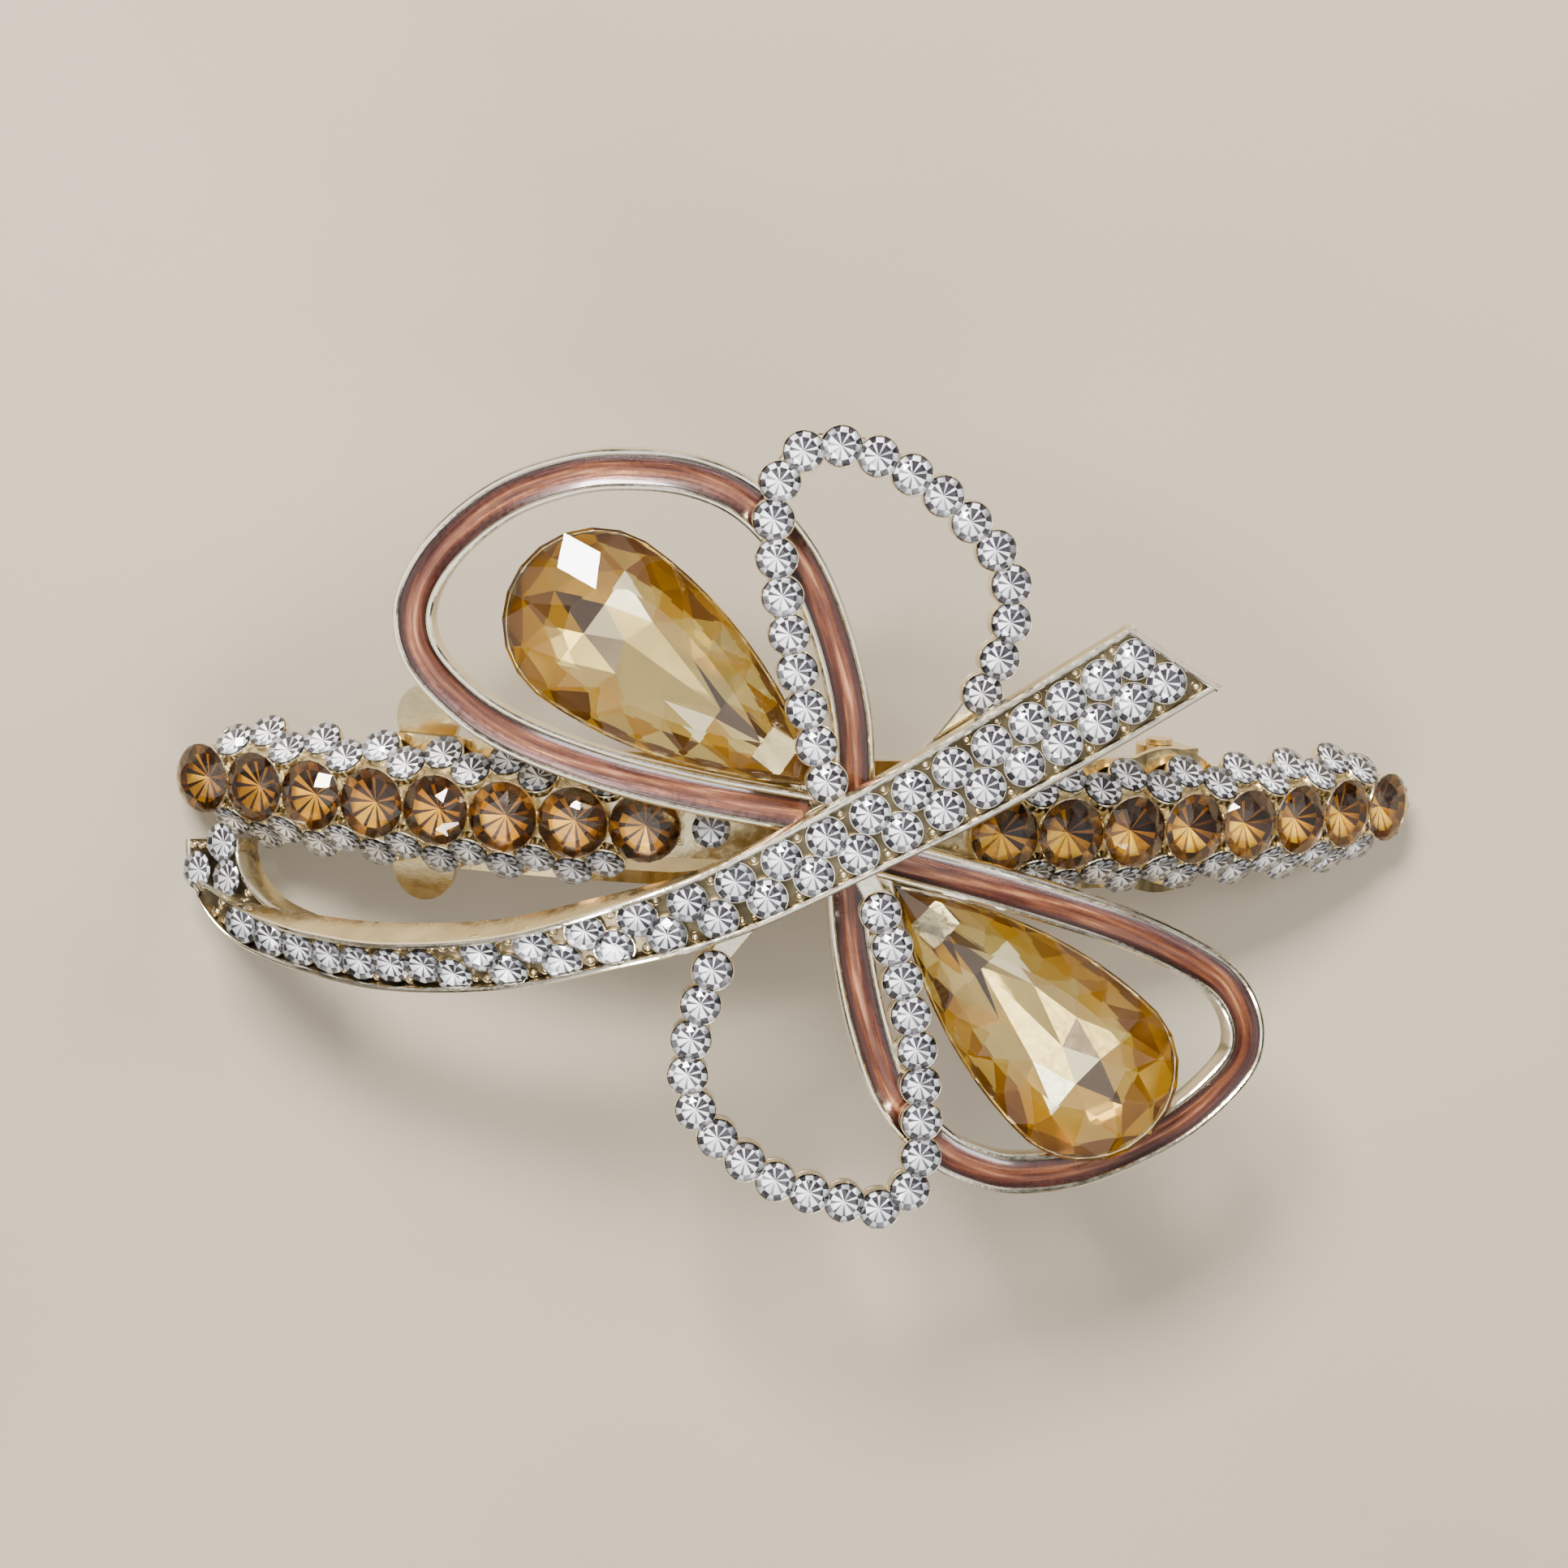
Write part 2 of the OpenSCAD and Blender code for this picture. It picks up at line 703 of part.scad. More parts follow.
module catch_bridge() {
    color(clip_gold)
        lifted()
            at_angle(-catch_angle, plate_in)
                difference() {
                    translate([-leg_half_w, -leg_in + small, -0.05 - leg_t])
                        cube([2 * leg_half_w, 2 * (leg_in - small), leg_t]);
                    translate([0, 0, -2])
                        cylinder(r = rivet_r + rivet_gap, h = 3, $fn = 32);
                }
}

module catch_rivet() {
    color(clip_gold)
        lifted()
            at_angle(-catch_angle, plate_in) {
                translate([0, 0, -0.95])
                    cylinder(r = rivet_r, h = plate_t + 0.9, $fn = 32);
                translate([0, 0, -0.95])
                    cylinder(r = rivet_r + rivet_head, h = 0.38, $fn = 32);
            }
}

// Spring leg of the catch: a wall with a lip under the arm's edge, and a round wing to press
module catch_leg(side) {
    color(clip_gold)
        lifted()
            at_angle(-catch_angle, plate_in)
                mirror([0, side < 0 ? 1 : 0, 0]) {
                    translate([-leg_half_w, leg_in, -leg_depth - leg_t])
                        cube([2 * leg_half_w, leg_t, leg_depth + leg_t - 0.15]);
                    translate([-leg_half_w, leg_in - lip_reach, -leg_depth - leg_t])
                        cube([2 * leg_half_w, lip_reach + leg_t / 2, leg_t]);
                    translate([-wing_root_w / 2, leg_in + leg_t / 2, wing_z])
                        cube([wing_root_w, wing_y - leg_in, leg_t]);
                    translate([0, wing_y, wing_z])
                        difference() {
                            cylinder(r = wing_r, h = leg_t, $fn = 48);
                            translate([-wing_r - 1, leg_in + leg_t / 2 - wing_y - 2 * wing_r, -1])
                                cube([2 * wing_r + 2, 2 * wing_r, leg_t + 2]);
                        }
                }
}

module catch_leg_rear() {
    catch_leg(1);
}

module catch_leg_front() {
    catch_leg(-1);
}

bar_base();
centre_boss();
ridge_stone();
amber_stones_left();
amber_stones_right();
flank_stones_rear_left();
flank_stones_rear_right();
flank_stones_front_left();
flank_stones_front_right();
enamel_frame_rear();
enamel_frame_front();
enamel_fill_rear();
enamel_fill_front();
stone_strip_rear();
stone_strip_front();
strip_stones_rear();
strip_stones_front();
pear_seat_rear();
pear_seat_front();
pear_stone_rear();
pear_stone_front();
ribbon_band();
ribbon_fold();
ribbon_stones_rear_row();
ribbon_stones_front_row();
ribbon_stones_single_row();
fold_stones();
top_plate();
tension_leaf();
leaf_rivets();
lower_arm();
hinge_pin();
catch_bridge();
catch_rivet();
catch_leg_rear();
catch_leg_front();
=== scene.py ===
"""Looks of the rhinestone hair clip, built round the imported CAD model.

Lengths are in millimetres until a mesh is made."""
import math

import bpy
import numpy as np
from mathutils import Matrix, Vector


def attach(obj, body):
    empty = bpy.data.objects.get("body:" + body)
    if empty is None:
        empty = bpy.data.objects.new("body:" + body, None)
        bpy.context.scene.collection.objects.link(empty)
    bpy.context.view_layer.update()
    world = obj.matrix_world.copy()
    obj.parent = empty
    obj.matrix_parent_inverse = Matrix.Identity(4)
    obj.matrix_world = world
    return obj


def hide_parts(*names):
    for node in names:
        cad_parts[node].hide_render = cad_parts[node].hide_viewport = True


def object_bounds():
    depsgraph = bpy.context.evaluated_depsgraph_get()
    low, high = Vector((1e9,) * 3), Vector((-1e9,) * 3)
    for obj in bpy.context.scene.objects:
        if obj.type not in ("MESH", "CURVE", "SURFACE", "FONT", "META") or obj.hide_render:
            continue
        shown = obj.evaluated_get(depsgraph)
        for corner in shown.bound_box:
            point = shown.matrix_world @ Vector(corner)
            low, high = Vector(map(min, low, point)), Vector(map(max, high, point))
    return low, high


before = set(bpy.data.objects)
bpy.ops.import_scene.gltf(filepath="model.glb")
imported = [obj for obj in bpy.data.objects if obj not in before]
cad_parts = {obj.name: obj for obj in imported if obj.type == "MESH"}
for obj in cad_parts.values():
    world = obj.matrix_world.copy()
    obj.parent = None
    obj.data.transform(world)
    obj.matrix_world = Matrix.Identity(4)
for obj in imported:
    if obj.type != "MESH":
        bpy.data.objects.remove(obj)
cad_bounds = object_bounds()

MM = 0.001

# ---- Driving sizes, the same as the CAD's ----

FACE_HEIGHT = 8.7
BAR_RADIUS = 64.0
BOW_RADIUS = 110.0
RIDGE_HALF = 2.2
RIDGE_SINK = 0.8
ENAMEL_W, ENAMEL_H, RAIL_W, GROOVE_DEPTH = 2.9, 1.6, 0.5, 0.8
ENAMEL_TOP = 1.1 + ENAMEL_H
STRIP_TOP = 3.7
STRIP_T = 0.9
RIBBON_TOP = 5.9
FLOOR_DEPTH = 0.7
FOLD_T = 2.2
PEAR_L, PEAR_W, PEAR_BELLY = 26.0, 13.0, 0.755
# Radius of the plain stones of each kind
AMBER_CAD_R, FLANK_CAD_R, STRIP_CAD_R, RIBBON_CAD_R = 2.45, 1.12, 1.2, 1.15

ENAMEL_REAR = [(1.7, 2), (1.5, 4), (1, 9), (-0.6, 14.6), (-3, 19.5), (-6.5, 23.2), (-10.5, 24.9),
               (-15, 25.2), (-19, 24.6), (-23.4, 22.7), (-27.2, 19.3), (-29.2, 15.5), (-28.8, 12),
               (-26, 8.8), (-22, 6.4), (-16, 4.4), (-9.5, 3), (-3, 2), (-1.8, 1.8)]
ENAMEL_FRONT = [(1, -1.8), (1.3, -3.7), (1.9, -8), (3.3, -13.5), (5.3, -18.3), (8.4, -21.6),
                (11.2, -23.1), (14.5, -23.8), (19.7, -23.2), (26, -20.5), (30.2, -16.9), (31.1, -14.2),
                (30, -11.3), (27.5, -9.1), (22, -6.4), (13.4, -3.6), (5.6, -1.6), (3.6, -1.1)]
STRIP_REAR = [(0.2, 2.6), (-0.6, 4.3), (-2, 8.7), (-3.5, 14), (-4.7, 19.8), (-5, 22.8),
              (-4.5, 25.4), (-2.9, 27.2), (-0.6, 27.5), (1.9, 26.9), (6.3, 24.5), (10.3, 20.8),
              (11.6, 18.3), (11.7, 15.5), (11, 13), (9.9, 10.6), (8, 7.8), (5, 4.4), (3, 1.8)]
STRIP_FRONT = [(2.3, -2.2), (3.5, -4.7), (5.4, -10), (6.7, -15.6), (7.1, -20.6), (7, -23),
               (6.1, -25), (4.2, -25.9), (1.8, -25.4), (-3, -24), (-7, -21.2), (-8.7, -19.2),
               (-9.4, -16.8), (-9.3, -14.2), (-8, -9.2), (-6.4, -6.6), (-4, -3.8), (-2.4, -1.6)]
# Ribbon stations: x, y, width, roll, thickness, slant of the cut
RIBBON = [(-44.1, -6.5, 0.6, 10, 0.8, 0), (-43.2, -7.6, 1.5, 15, 1.2, 0), (-41.6, -8.8, 2.4, 20, 1.6, 0),
          (-39.5, -9.7, 3.1, 25, 2, 0), (-36.4, -10.4, 3.7, 28, 2.4, 0), (-30.6, -10.7, 4.4, 28, 2.6, 0),
          (-22.6, -9.5, 4.6, 22, 2.4, 0), (-15.5, -7.2, 4.8, 15, 2.2, 0), (-8.2, -4.4, 5.2, 3, 1.6, 0),
          (0.1, 0, 5.6, 0, 1.7, 0), (8.2, 4.6, 6.3, 0, 1.7, 0), (16.6, 9.7, 6.8, 0, 1.7, -0.15),
          (23.2, 13.8, 7, 0, 1.7, -0.5)]
# Fold stations: x, y, height over the amber line, width
FOLD = [(-43.3, -4.3, -16.3, 5.4), (-43.1, -6, -16, 5.4), (-42, -8.2, -14.4, 5),
        (-39.6, -9.9, -12, 4.2), (-36, -10.6, -9.2, 3.4)]
# Pears: x and y of the tip, direction of the round end, rise towards it
PEAR_REAR = (-0.4, 3.6, 146, -4)
PEAR_FRONT = (4.6, -3.1, -42.5, -0.5)

# ---- Sizes of the finished pieces ----

# The bar is narrower than the CAD's. The round stones are wider, by up to 0.3 mm in radius.
PEAR_GIRDLE, PEAR_CROWN = 1.95, 1.5
BAR_THICK = 2.7
BAR_TIP_ANGLE = 45.5
# Half width of the bar at angles from its middle
BAR_HALVES = [(2.5, 1.8), (9.5, 3.5), (37, 3.5), (42, 2.9), (44.6, 2.0), (BAR_TIP_ANGLE, 1.0)]
RIM_W = 0.5
CURVE_STEPS = 8
AMBER_R, AMBER_LIFT, AMBER_SINK, AMBER_TABLE = 2.56, 0.35, 0.45, 0.5
FLANK_R, RIBBON_STONE_R, RIDGE_STONE_R, STONE_LIFT = 1.4, 1.4, 1.35, 0.38
STRIP_R, STRIP_LIFT = 1.38, 0.42
STRIP_CUP_R, STRIP_CUP_H = 1.36, 0.42
FLANK_CUP_R, FLANK_CUP_H = 1.38, 0.22
FLANKS = ["flank_stones_rear_left", "flank_stones_rear_right",
          "flank_stones_front_left", "flank_stones_front_right"]

# ---- Camera, at the photograph's viewing angle ----

CAMERA_AT = Vector((-32.57, 51.26, 293.83 + FACE_HEIGHT))
CAMERA_RIGHT = Vector((0.99486, 0.04015, 0.09298))
CAMERA_UP = Vector((-0.02459, 0.98635, -0.16283))
CAMERA_LENS = 98.55
CAMERA_NEAR = 0.01
SENSOR_WIDTH = 36


def make_camera():
    """Camera over the decorated face, tilted as the clip leans in the photograph."""
    data = bpy.data.cameras.new("camera")
    data.lens = CAMERA_LENS
    data.sensor_width = SENSOR_WIDTH
    data.clip_start = CAMERA_NEAR
    cam = bpy.data.objects.new("camera", data)
    right = CAMERA_RIGHT.normalized()
    back = right.cross(CAMERA_UP).normalized()
    up = back.cross(right)
    turn = Matrix((right, up, back)).transposed().to_4x4()
    cam.matrix_world = Matrix.Translation(CAMERA_AT * MM) @ turn
    bpy.context.scene.collection.objects.link(cam)
    bpy.context.scene.camera = cam


# ---- Materials ----

# How much darker the enamel is painted at its edges than at its middle, as painted shade beside the rails,
# on the scale of its colour ramp
EDGE_SHADE = 0.5
# Part of its range that a noise mostly fills
NOISE_LOW, NOISE_HIGH = 0.3, 0.7
GLASS_IOR, CROWN_IOR = 1.54, 1.6


def set_stops(ramp, stops):
    """Colours of a colour ramp, as (place, colour) pairs."""
    while len(ramp.elements) < len(stops):
        ramp.elements.new(0.5)
    for element, (at, color) in zip(ramp.elements, stops):
        element.position = at
        element.color = (*color, 1)


class Shader:
    """A material's node tree, with short ways to add what the materials share."""

    def __init__(self, name):
        self.mat = bpy.data.materials.new(name)
        self.mat.use_nodes = True
        self.tree = self.mat.node_tree
        self.bsdf = self.tree.nodes["Principled BSDF"]
        self.coords = self.tree.nodes.new("ShaderNodeTexCoord").outputs["Object"]

    def set(self, **values):
        """Even values, by the shader's own sockets."""
        for key, value in values.items():
            self.bsdf.inputs[key.replace("_", " ")].default_value = value

    def link(self, out, key):
        """An output into the shader's socket of that name."""
        self.tree.links.new(out, self.bsdf.inputs[key])

    def noise(self, scale, detail=3.0, stretch=(1, 1, 1), coords=None):
        """Noise of a scale, over metres of the object or over other coordinates."""
        mapping = self.tree.nodes.new("ShaderNodeMapping")
        mapping.inputs["Scale"].default_value = [scale * s for s in stretch]
        self.tree.links.new(coords or self.coords, mapping.inputs["Vector"])
        node = self.tree.nodes.new("ShaderNodeTexNoise")
        node.inputs["Scale"].default_value = 1
        node.inputs["Detail"].default_value = detail
        self.tree.links.new(mapping.outputs["Vector"], node.inputs["Vector"])
        return node.outputs["Fac"]

    def attribute(self, name, output="Fac"):
        """Value stored on the mesh."""
        node = self.tree.nodes.new("ShaderNodeAttribute")
        node.attribute_name = name
        return node.outputs[output]

    def ramp(self, fac, stops):
        """The factor as a colour between the stops."""
        node = self.tree.nodes.new("ShaderNodeValToRGB")
        set_stops(node.color_ramp, stops)
        self.tree.links.new(fac, node.inputs["Fac"])
        return node.outputs["Color"]

    def spread(self, fac, low, high):
        """A noise spread from low to high."""
        node = self.tree.nodes.new("ShaderNodeMapRange")
        node.inputs["From Min"].default_value = NOISE_LOW
        node.inputs["From Max"].default_value = NOISE_HIGH
        node.inputs["To Min"].default_value = low
        node.inputs["To Max"].default_value = high
        self.tree.links.new(fac, node.inputs["Value"])
        return node.outputs["Result"]

    def fade(self, fac, flow, half):
        """The factor, less towards the edges of a groove whose half width is given: painted shade along the
        groove's edges.
        """
        across = self.tree.nodes.new("ShaderNodeSeparateXYZ")
        self.tree.links.new(flow, across.inputs["Vector"])
        square = self.math("MULTIPLY", across.outputs["Y"], across.outputs["Y"])
        return self.math("SUBTRACT", fac, self.math("MULTIPLY", square, EDGE_SHADE / half ** 2))

    def math(self, operation, *values):
        """Result of an operation on outputs and numbers."""
        node = self.tree.nodes.new("ShaderNodeMath")
        node.operation = operation
        for socket, value in zip(node.inputs, values):
            if isinstance(value, float):
                socket.default_value = value
            else:
                self.tree.links.new(value, socket)
        return node.outputs["Value"]

    def bump(self, fac, height):
        """Fine relief, of a height in millimetres."""
        node = self.tree.nodes.new("ShaderNodeBump")
        node.inputs["Distance"].default_value = height * MM
        node.inputs["Strength"].default_value = 1
        self.tree.links.new(fac, node.inputs["Height"])
        self.link(node.outputs["Normal"], "Normal")


def plated_metal(name, light, dark, rough, grain=(1, 1, 1)):
    """Polished plating: soft tone drift, hazy patches and the fine ripple of a cast or rolled surface."""
    s = Shader(name)
    s.set(Metallic=1.0)
    s.link(s.ramp(s.noise(350, 2), [(NOISE_LOW, dark), (NOISE_HIGH, light)]), "Base Color")
    s.link(s.spread(s.noise(1400, 4, grain), *rough), "Roughness")
    s.bump(s.noise(2600, 3, grain), 0.012)
    return s.mat


def enamel_paint():
    """Copper-brown enamel brushed along its groove, with a metallic sheen under a clear gloss, and painted
    shade darkening its edges.
    """
    s = Shader("brown_enamel")
    s.set(Metallic=0.5, Coat_Weight=0.6, Coat_Roughness=0.12, Coat_IOR=1.5)
    flow = s.attribute("flow", "Vector")
    streaks = s.noise(1, 4, (0.16, 2.6, 1), flow)
    s.link(s.ramp(s.fade(streaks, flow, ENAMEL_W / 2 - RAIL_W), [
        (0.1, (0.018, 0.004, 0.002)), (0.34, (0.050, 0.011, 0.005)),
        (0.52, (0.14, 0.045, 0.018)), (0.68, (0.38, 0.17, 0.080))]), "Base Color")
    s.link(s.spread(s.noise(2500), 0.22, 0.4), "Roughness")
    s.bump(streaks, 0.06)
    return s.mat


def cut_glass(name, tint):
    """Clear body of a stone, seen through its facets."""
    s = Shader(name)
    s.set(Transmission_Weight=1.0, IOR=GLASS_IOR, Base_Color=(*tint, 1))
    s.link(s.spread(s.noise(900, 2), 0.015, 0.045), "Roughness")
    return s.mat


def clear_crown(name, tint):
    """Thin gloss over a foiled stone: all mirror at a glance, nearly clear face on."""
    s = Shader(name)
    s.set(Metallic=1.0, Base_Color=(*tint, 1))
    fresnel = s.tree.nodes.new("ShaderNodeFresnel")
    fresnel.inputs["IOR"].default_value = CROWN_IOR
    s.link(fresnel.outputs["Fac"], "Alpha")
    s.link(s.spread(s.noise(900, 2), 0.02, 0.06), "Roughness")
    return s.mat


def foil(name, stops, metal, rough=(0.16, 0.3)):
    """Foiled back facets. Each facet has its own tone, stored on the mesh: painted reflections, and on round
    stones painted shade too.
    """
    s = Shader(name)
    s.set(Metallic=metal)
    s.link(s.ramp(s.attribute("tone"), stops), "Base Color")
    s.link(s.spread(s.noise(2200, 2), *rough), "Roughness")
    return s.mat


def floor_paper():
    """Plain matt paper, a little uneven in tone."""
    s = Shader("floor_paper")
    s.set(Specular_IOR_Level=0.25)
    tones = [(NOISE_LOW, (0.215, 0.180, 0.130)), (NOISE_HIGH, (0.245, 0.207, 0.151))]
    s.link(s.ramp(s.noise(14, 3), tones), "Base Color")
    s.link(s.spread(s.noise(300), 0.6, 0.75), "Roughness")
    s.bump(s.noise(2500, 2), 0.02)
    return s.mat


PALE_GOLD = plated_metal("pale_gold", (0.92, 0.84, 0.66), (0.80, 0.70, 0.50), (0.08, 0.2))
# Dark plating for the channel floors: painted shade in the recesses
RECESS_SHADE_GOLD = plated_metal("recess_painted_shade_gold", (0.17, 0.138, 0.083), (0.062, 0.048, 0.027), (0.25, 0.4))
BAR_GOLD = plated_metal("bar_gold", (0.66, 0.55, 0.33), (0.46, 0.37, 0.20), (0.16, 0.32))
CLIP_GOLD = plated_metal("clip_gold", (0.88, 0.68, 0.33), (0.76, 0.54, 0.22), (0.1, 0.24), (1, 0.15, 1))
SPRING_GOLD = plated_metal("spring_gold", (0.86, 0.72, 0.42), (0.74, 0.58, 0.29), (0.14, 0.28), (0.15, 1, 1))
ENAMEL = enamel_paint()
CLEAR_GLASS = clear_crown("clear_glass", (0.97, 0.98, 1.0))
# Foil colours from dark to white: painted reflections and painted shade on the stones' backs
CLEAR_FOIL = foil("clear_foil", [(0.0, (0.02, 0.016, 0.02)), (0.3, (0.085, 0.075, 0.085)),
                                 (0.52, (0.42, 0.42, 0.44)), (0.72, (1.0, 1.0, 1.0))], 0.2)
AMBER_GLASS = clear_crown("amber_glass", (1.0, 0.90, 0.76))
AMBER_FOIL = foil("amber_foil", [(0.0, (0.010, 0.004, 0.002)), (0.3, (0.048, 0.016, 0.004)),
                                 (0.55, (0.27, 0.100, 0.002)), (0.78, (0.55, 0.25, 0.005)),
                                 (1.0, (0.82, 0.48, 0.03))], 0.25)
PEAR_GLASS = cut_glass("champagne_glass", (0.97, 0.87, 0.58))
PEAR_FOIL = foil("champagne_foil", [(0.0, (0.016, 0.009, 0.005)), (0.15, (0.055, 0.028, 0.010)),
                                    (0.32, (0.15, 0.062, 0.003)), (0.5, (0.36, 0.20, 0.005)),
                                    (0.7, (0.36, 0.285, 0.10)), (0.85, (0.58, 0.50, 0.26)),
                                    (1.0, (1.0, 1.0, 0.94))], 0.45, (0.08, 0.18))


# ---- Curves and meshes ----

def unit(v):
    """The vector at length 1."""
    return v / np.linalg.norm(v)


def arch(x, r):
    """Height of an arch of radius r at x, with its top at 0."""
    return math.sqrt(r * r - x * x) - r


def curve(points):
    """Smooth curve through the points (Catmull-Rom), with CURVE_STEPS steps between two of them."""
    p = np.array(points, float)
    n = len(p) - 1
    t = (np.arange(CURVE_STEPS) / CURVE_STEPS)[:, None]
    out = []
    for i in range(n):
        a, b, c, d = p[max(i - 1, 0)], p[i], p[i + 1], p[min(i + 2, n)]
        out.append(0.5 * (2 * b + (c - a) * t + (2 * a - 5 * b + 4 * c - d) * t ** 2
                          + (3 * b - a - 3 * c + d) * t ** 3))
    return np.vstack(out + [p[n:]])


def facing(x, r):
    """Direction straight out of an arch of radius r at x."""
    return np.array([x / r, 0, math.sqrt(1 - (x / r) ** 2)])


class Path:
    """A line with a side, up and forward direction at each of its points."""

    def __init__(self, line, refs, rolls=None):
        self.line = line
        self.length = np.concatenate([[0], np.cumsum(np.linalg.norm(np.diff(line, axis=0), axis=1))])
        self.total = self.length[-1]
        self.frames = []
        last = len(line) - 1
        for i, ref in enumerate(refs):
            ahead = unit(line[min(i + 1, last)] - line[max(i - 1, 0)])
            side = unit(np.cross(ref, ahead))
            up = np.cross(ahead, side)
            a = math.radians(rolls[i]) if rolls is not None else 0
            self.frames.append((side * math.cos(a) + up * math.sin(a),
                                up * math.cos(a) - side * math.sin(a), ahead))

    def at(self, s):
        """Point and directions at the length s."""
        i = int(np.clip(np.searchsorted(self.length, s) - 1, 0, len(self.line) - 2))
        t = (s - self.length[i]) / (self.length[i + 1] - self.length[i])
        point = self.line[i] * (1 - t) + self.line[i + 1] * t
        return point, [unit(a * (1 - t) + b * t) for a, b in zip(self.frames[i], self.frames[i + 1])]

    def value(self, values, s):
        """Value at the length s, from a value for each point."""
        return float(np.interp(s, self.length, values))


class Parts:
    """The faces of one piece, gathered shape by shape."""

    def __init__(self):
        self.verts = []
        self.faces = []
        self.slots = []
        self.tones = []
        self.flow = []

    def add(self, verts, faces, slots=None, tones=None, flow=None):
        """A shape's corners and faces, the faces' slots and tones, and the corners' places along a sweep."""
        base = len(self.verts)
        self.verts += [tuple(v) for v in verts]
        self.flow += flow or [(0, 0, 0)] * len(verts)
        self.faces += [[base + i for i in f] for f in faces]
        self.slots += slots or [0] * len(faces)
        self.tones += tones or [0.5] * len(faces)

    def piece(self, name, materials, slot, nodes=(), body="ornament", sharp=32):
        """Object on a body, in place of CAD nodes, with edges sharper than an angle kept sharp."""
        mesh = bpy.data.meshes.new(name)
        mesh.from_pydata([[c * MM for c in v] for v in self.verts], [], self.faces)
        for m in materials:
            mesh.materials.append(m)
        mesh.polygons.foreach_set("material_index", self.slots)
        mesh.polygons.foreach_set("use_smooth", [True] * len(self.faces))
        mesh.set_sharp_from_angle(angle=math.radians(sharp))
        tone = mesh.attributes.new("tone", "FLOAT", "FACE")
        tone.data.foreach_set("value", self.tones)
        flow = mesh.attributes.new("flow", "FLOAT_VECTOR", "POINT")
        flow.data.foreach_set("vector", np.array(self.flow, float).ravel())
        obj = bpy.data.objects.new(name, mesh)
        bpy.context.scene.collection.objects.link(obj)
        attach(obj, body)
        if nodes:
            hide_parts(*nodes)


def sweep(parts, path, profiles, slants=None, sides=None):
    """Solid whose cross-section at each point of the path is a list of (across, up). Sides gives the slot
    of the side that starts at each of those points."""
    n, m = len(path.line), len(profiles[0])
    verts = []
    flow = []
    for i in range(n):
        side, up, ahead = path.frames[i]
        slant = slants[i] if slants is not None else 0
        verts += [path.line[i] + side * a + up * b + ahead * slant * a for a, b in profiles[i]]
        flow += [(path.length[i], a, 0) for a, _ in profiles[i]]
    faces = [[i * m + j, i * m + (j + 1) % m, (i + 1) * m + (j + 1) % m, (i + 1) * m + j]
             for i in range(n - 1) for j in range(m)]
    slots = (sides or [0] * m) * (n - 1)
    faces += [list(range(m))[::-1], [(n - 1) * m + j for j in range(m)]]
    parts.add(verts, faces, slots + [0, 0], flow=flow)


def lathe(parts, at, axes, profile, sides=24, closed=True, cap=False):
    """Ring, cup or dome turned about the up axis at a point, from (radius, height) pairs. A cap closes
    the last circle."""
    side, up, ahead = axes
    m = len(profile)
    verts = []
    for k in range(sides):
        a = 2 * math.pi * k / sides
        out = side * math.cos(a) + ahead * math.sin(a)
        verts += [at + out * r + up * h for r, h in profile]
    span = m if closed else m - 1
    faces = [[k * m + (j + 1) % m, ((k + 1) % sides) * m + (j + 1) % m, ((k + 1) % sides) * m + j,
              k * m + j] for k in range(sides) for j in range(span)]
    if cap:
        faces.append([k * m + m - 1 for k in range(sides)][::-1])
    parts.add(verts, faces)


def ringed_bead(parts, at, axes, r):
    """Small round bead, sunk to its middle, in a tiny ring."""
    lathe(parts, at, axes, [(r, 0), (r, 0.1), (r * 0.92, 0.16), (r * 0.84, 0.1), (r * 0.8, 0)], sides=14)
    dome = [(r * 0.56 * math.cos(a), r * 0.56 * math.sin(a)) for a in (0, 0.45, 0.9, 1.3)]
    lathe(parts, at, axes, dome, sides=10, closed=False, cap=True)


# ---- Stones ----

# Way across the face towards which the foiled backs are painted darkest, as painted shade
PAINTED_SHADE_SIDE = np.array([0.6, 0.8, 0])
# Half a painted light wedge's share of a light and dark pair on the shaded side, and its gain on the lit
# side; the wedges are painted reflections
LIGHT_SHARE, LIGHT_GAIN = 0.13, 0.23
# Painted light on the back halfway between the shaded and the lit side, and how fast it changes across
HALF_LIT, LIT_SLOPE = 0.55, 0.8
# How near the end of a plain stone a corner counts as on it, and what its side direction is taken from
END_DEPTH = 0.05
SIDE_HINT = (0.3, 1, 0.2)
# Cut of a round stone: shares of its radius, of its crown's height and of its depth, and the girdle's height
CROWN_RISE, TABLE_R = 0.34, 0.56
STAR_R, STAR_RISE = 0.83, 0.55
WEDGE_R, WEDGE_SINK = 0.72, 0.4
GIRDLE_T = 0.1


def stone_places(node):
    """(foot, axes, radius) of each stone in a CAD node, from left to right, in millimetres."""
    places = [stone_place(np.array(points)) for points in clusters(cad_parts[node].data)]
    return sorted(places, key=lambda place: (round(place[0][0], 3), round(place[0][1], 3)))


def clusters(mesh):
    """Corner points of each separate solid in a mesh, in millimetres."""
    co = np.array([v.co for v in mesh.vertices]) / MM
    keys = {}
    index = [keys.setdefault(tuple(np.round(c, 4)), len(keys)) for c in co]
    parent = list(range(len(keys)))

    def root(i):
        while parent[i] != i:
            i = parent[i]
        return i

    for poly in mesh.polygons:
        ids = [root(index[i]) for i in poly.vertices]
        for i in ids:
            parent[i] = min(ids)
            parent[root(i)] = root(min(ids))
    groups = {}
    for key, i in keys.items():
        groups.setdefault(root(i), []).append(key)
    return groups.values()


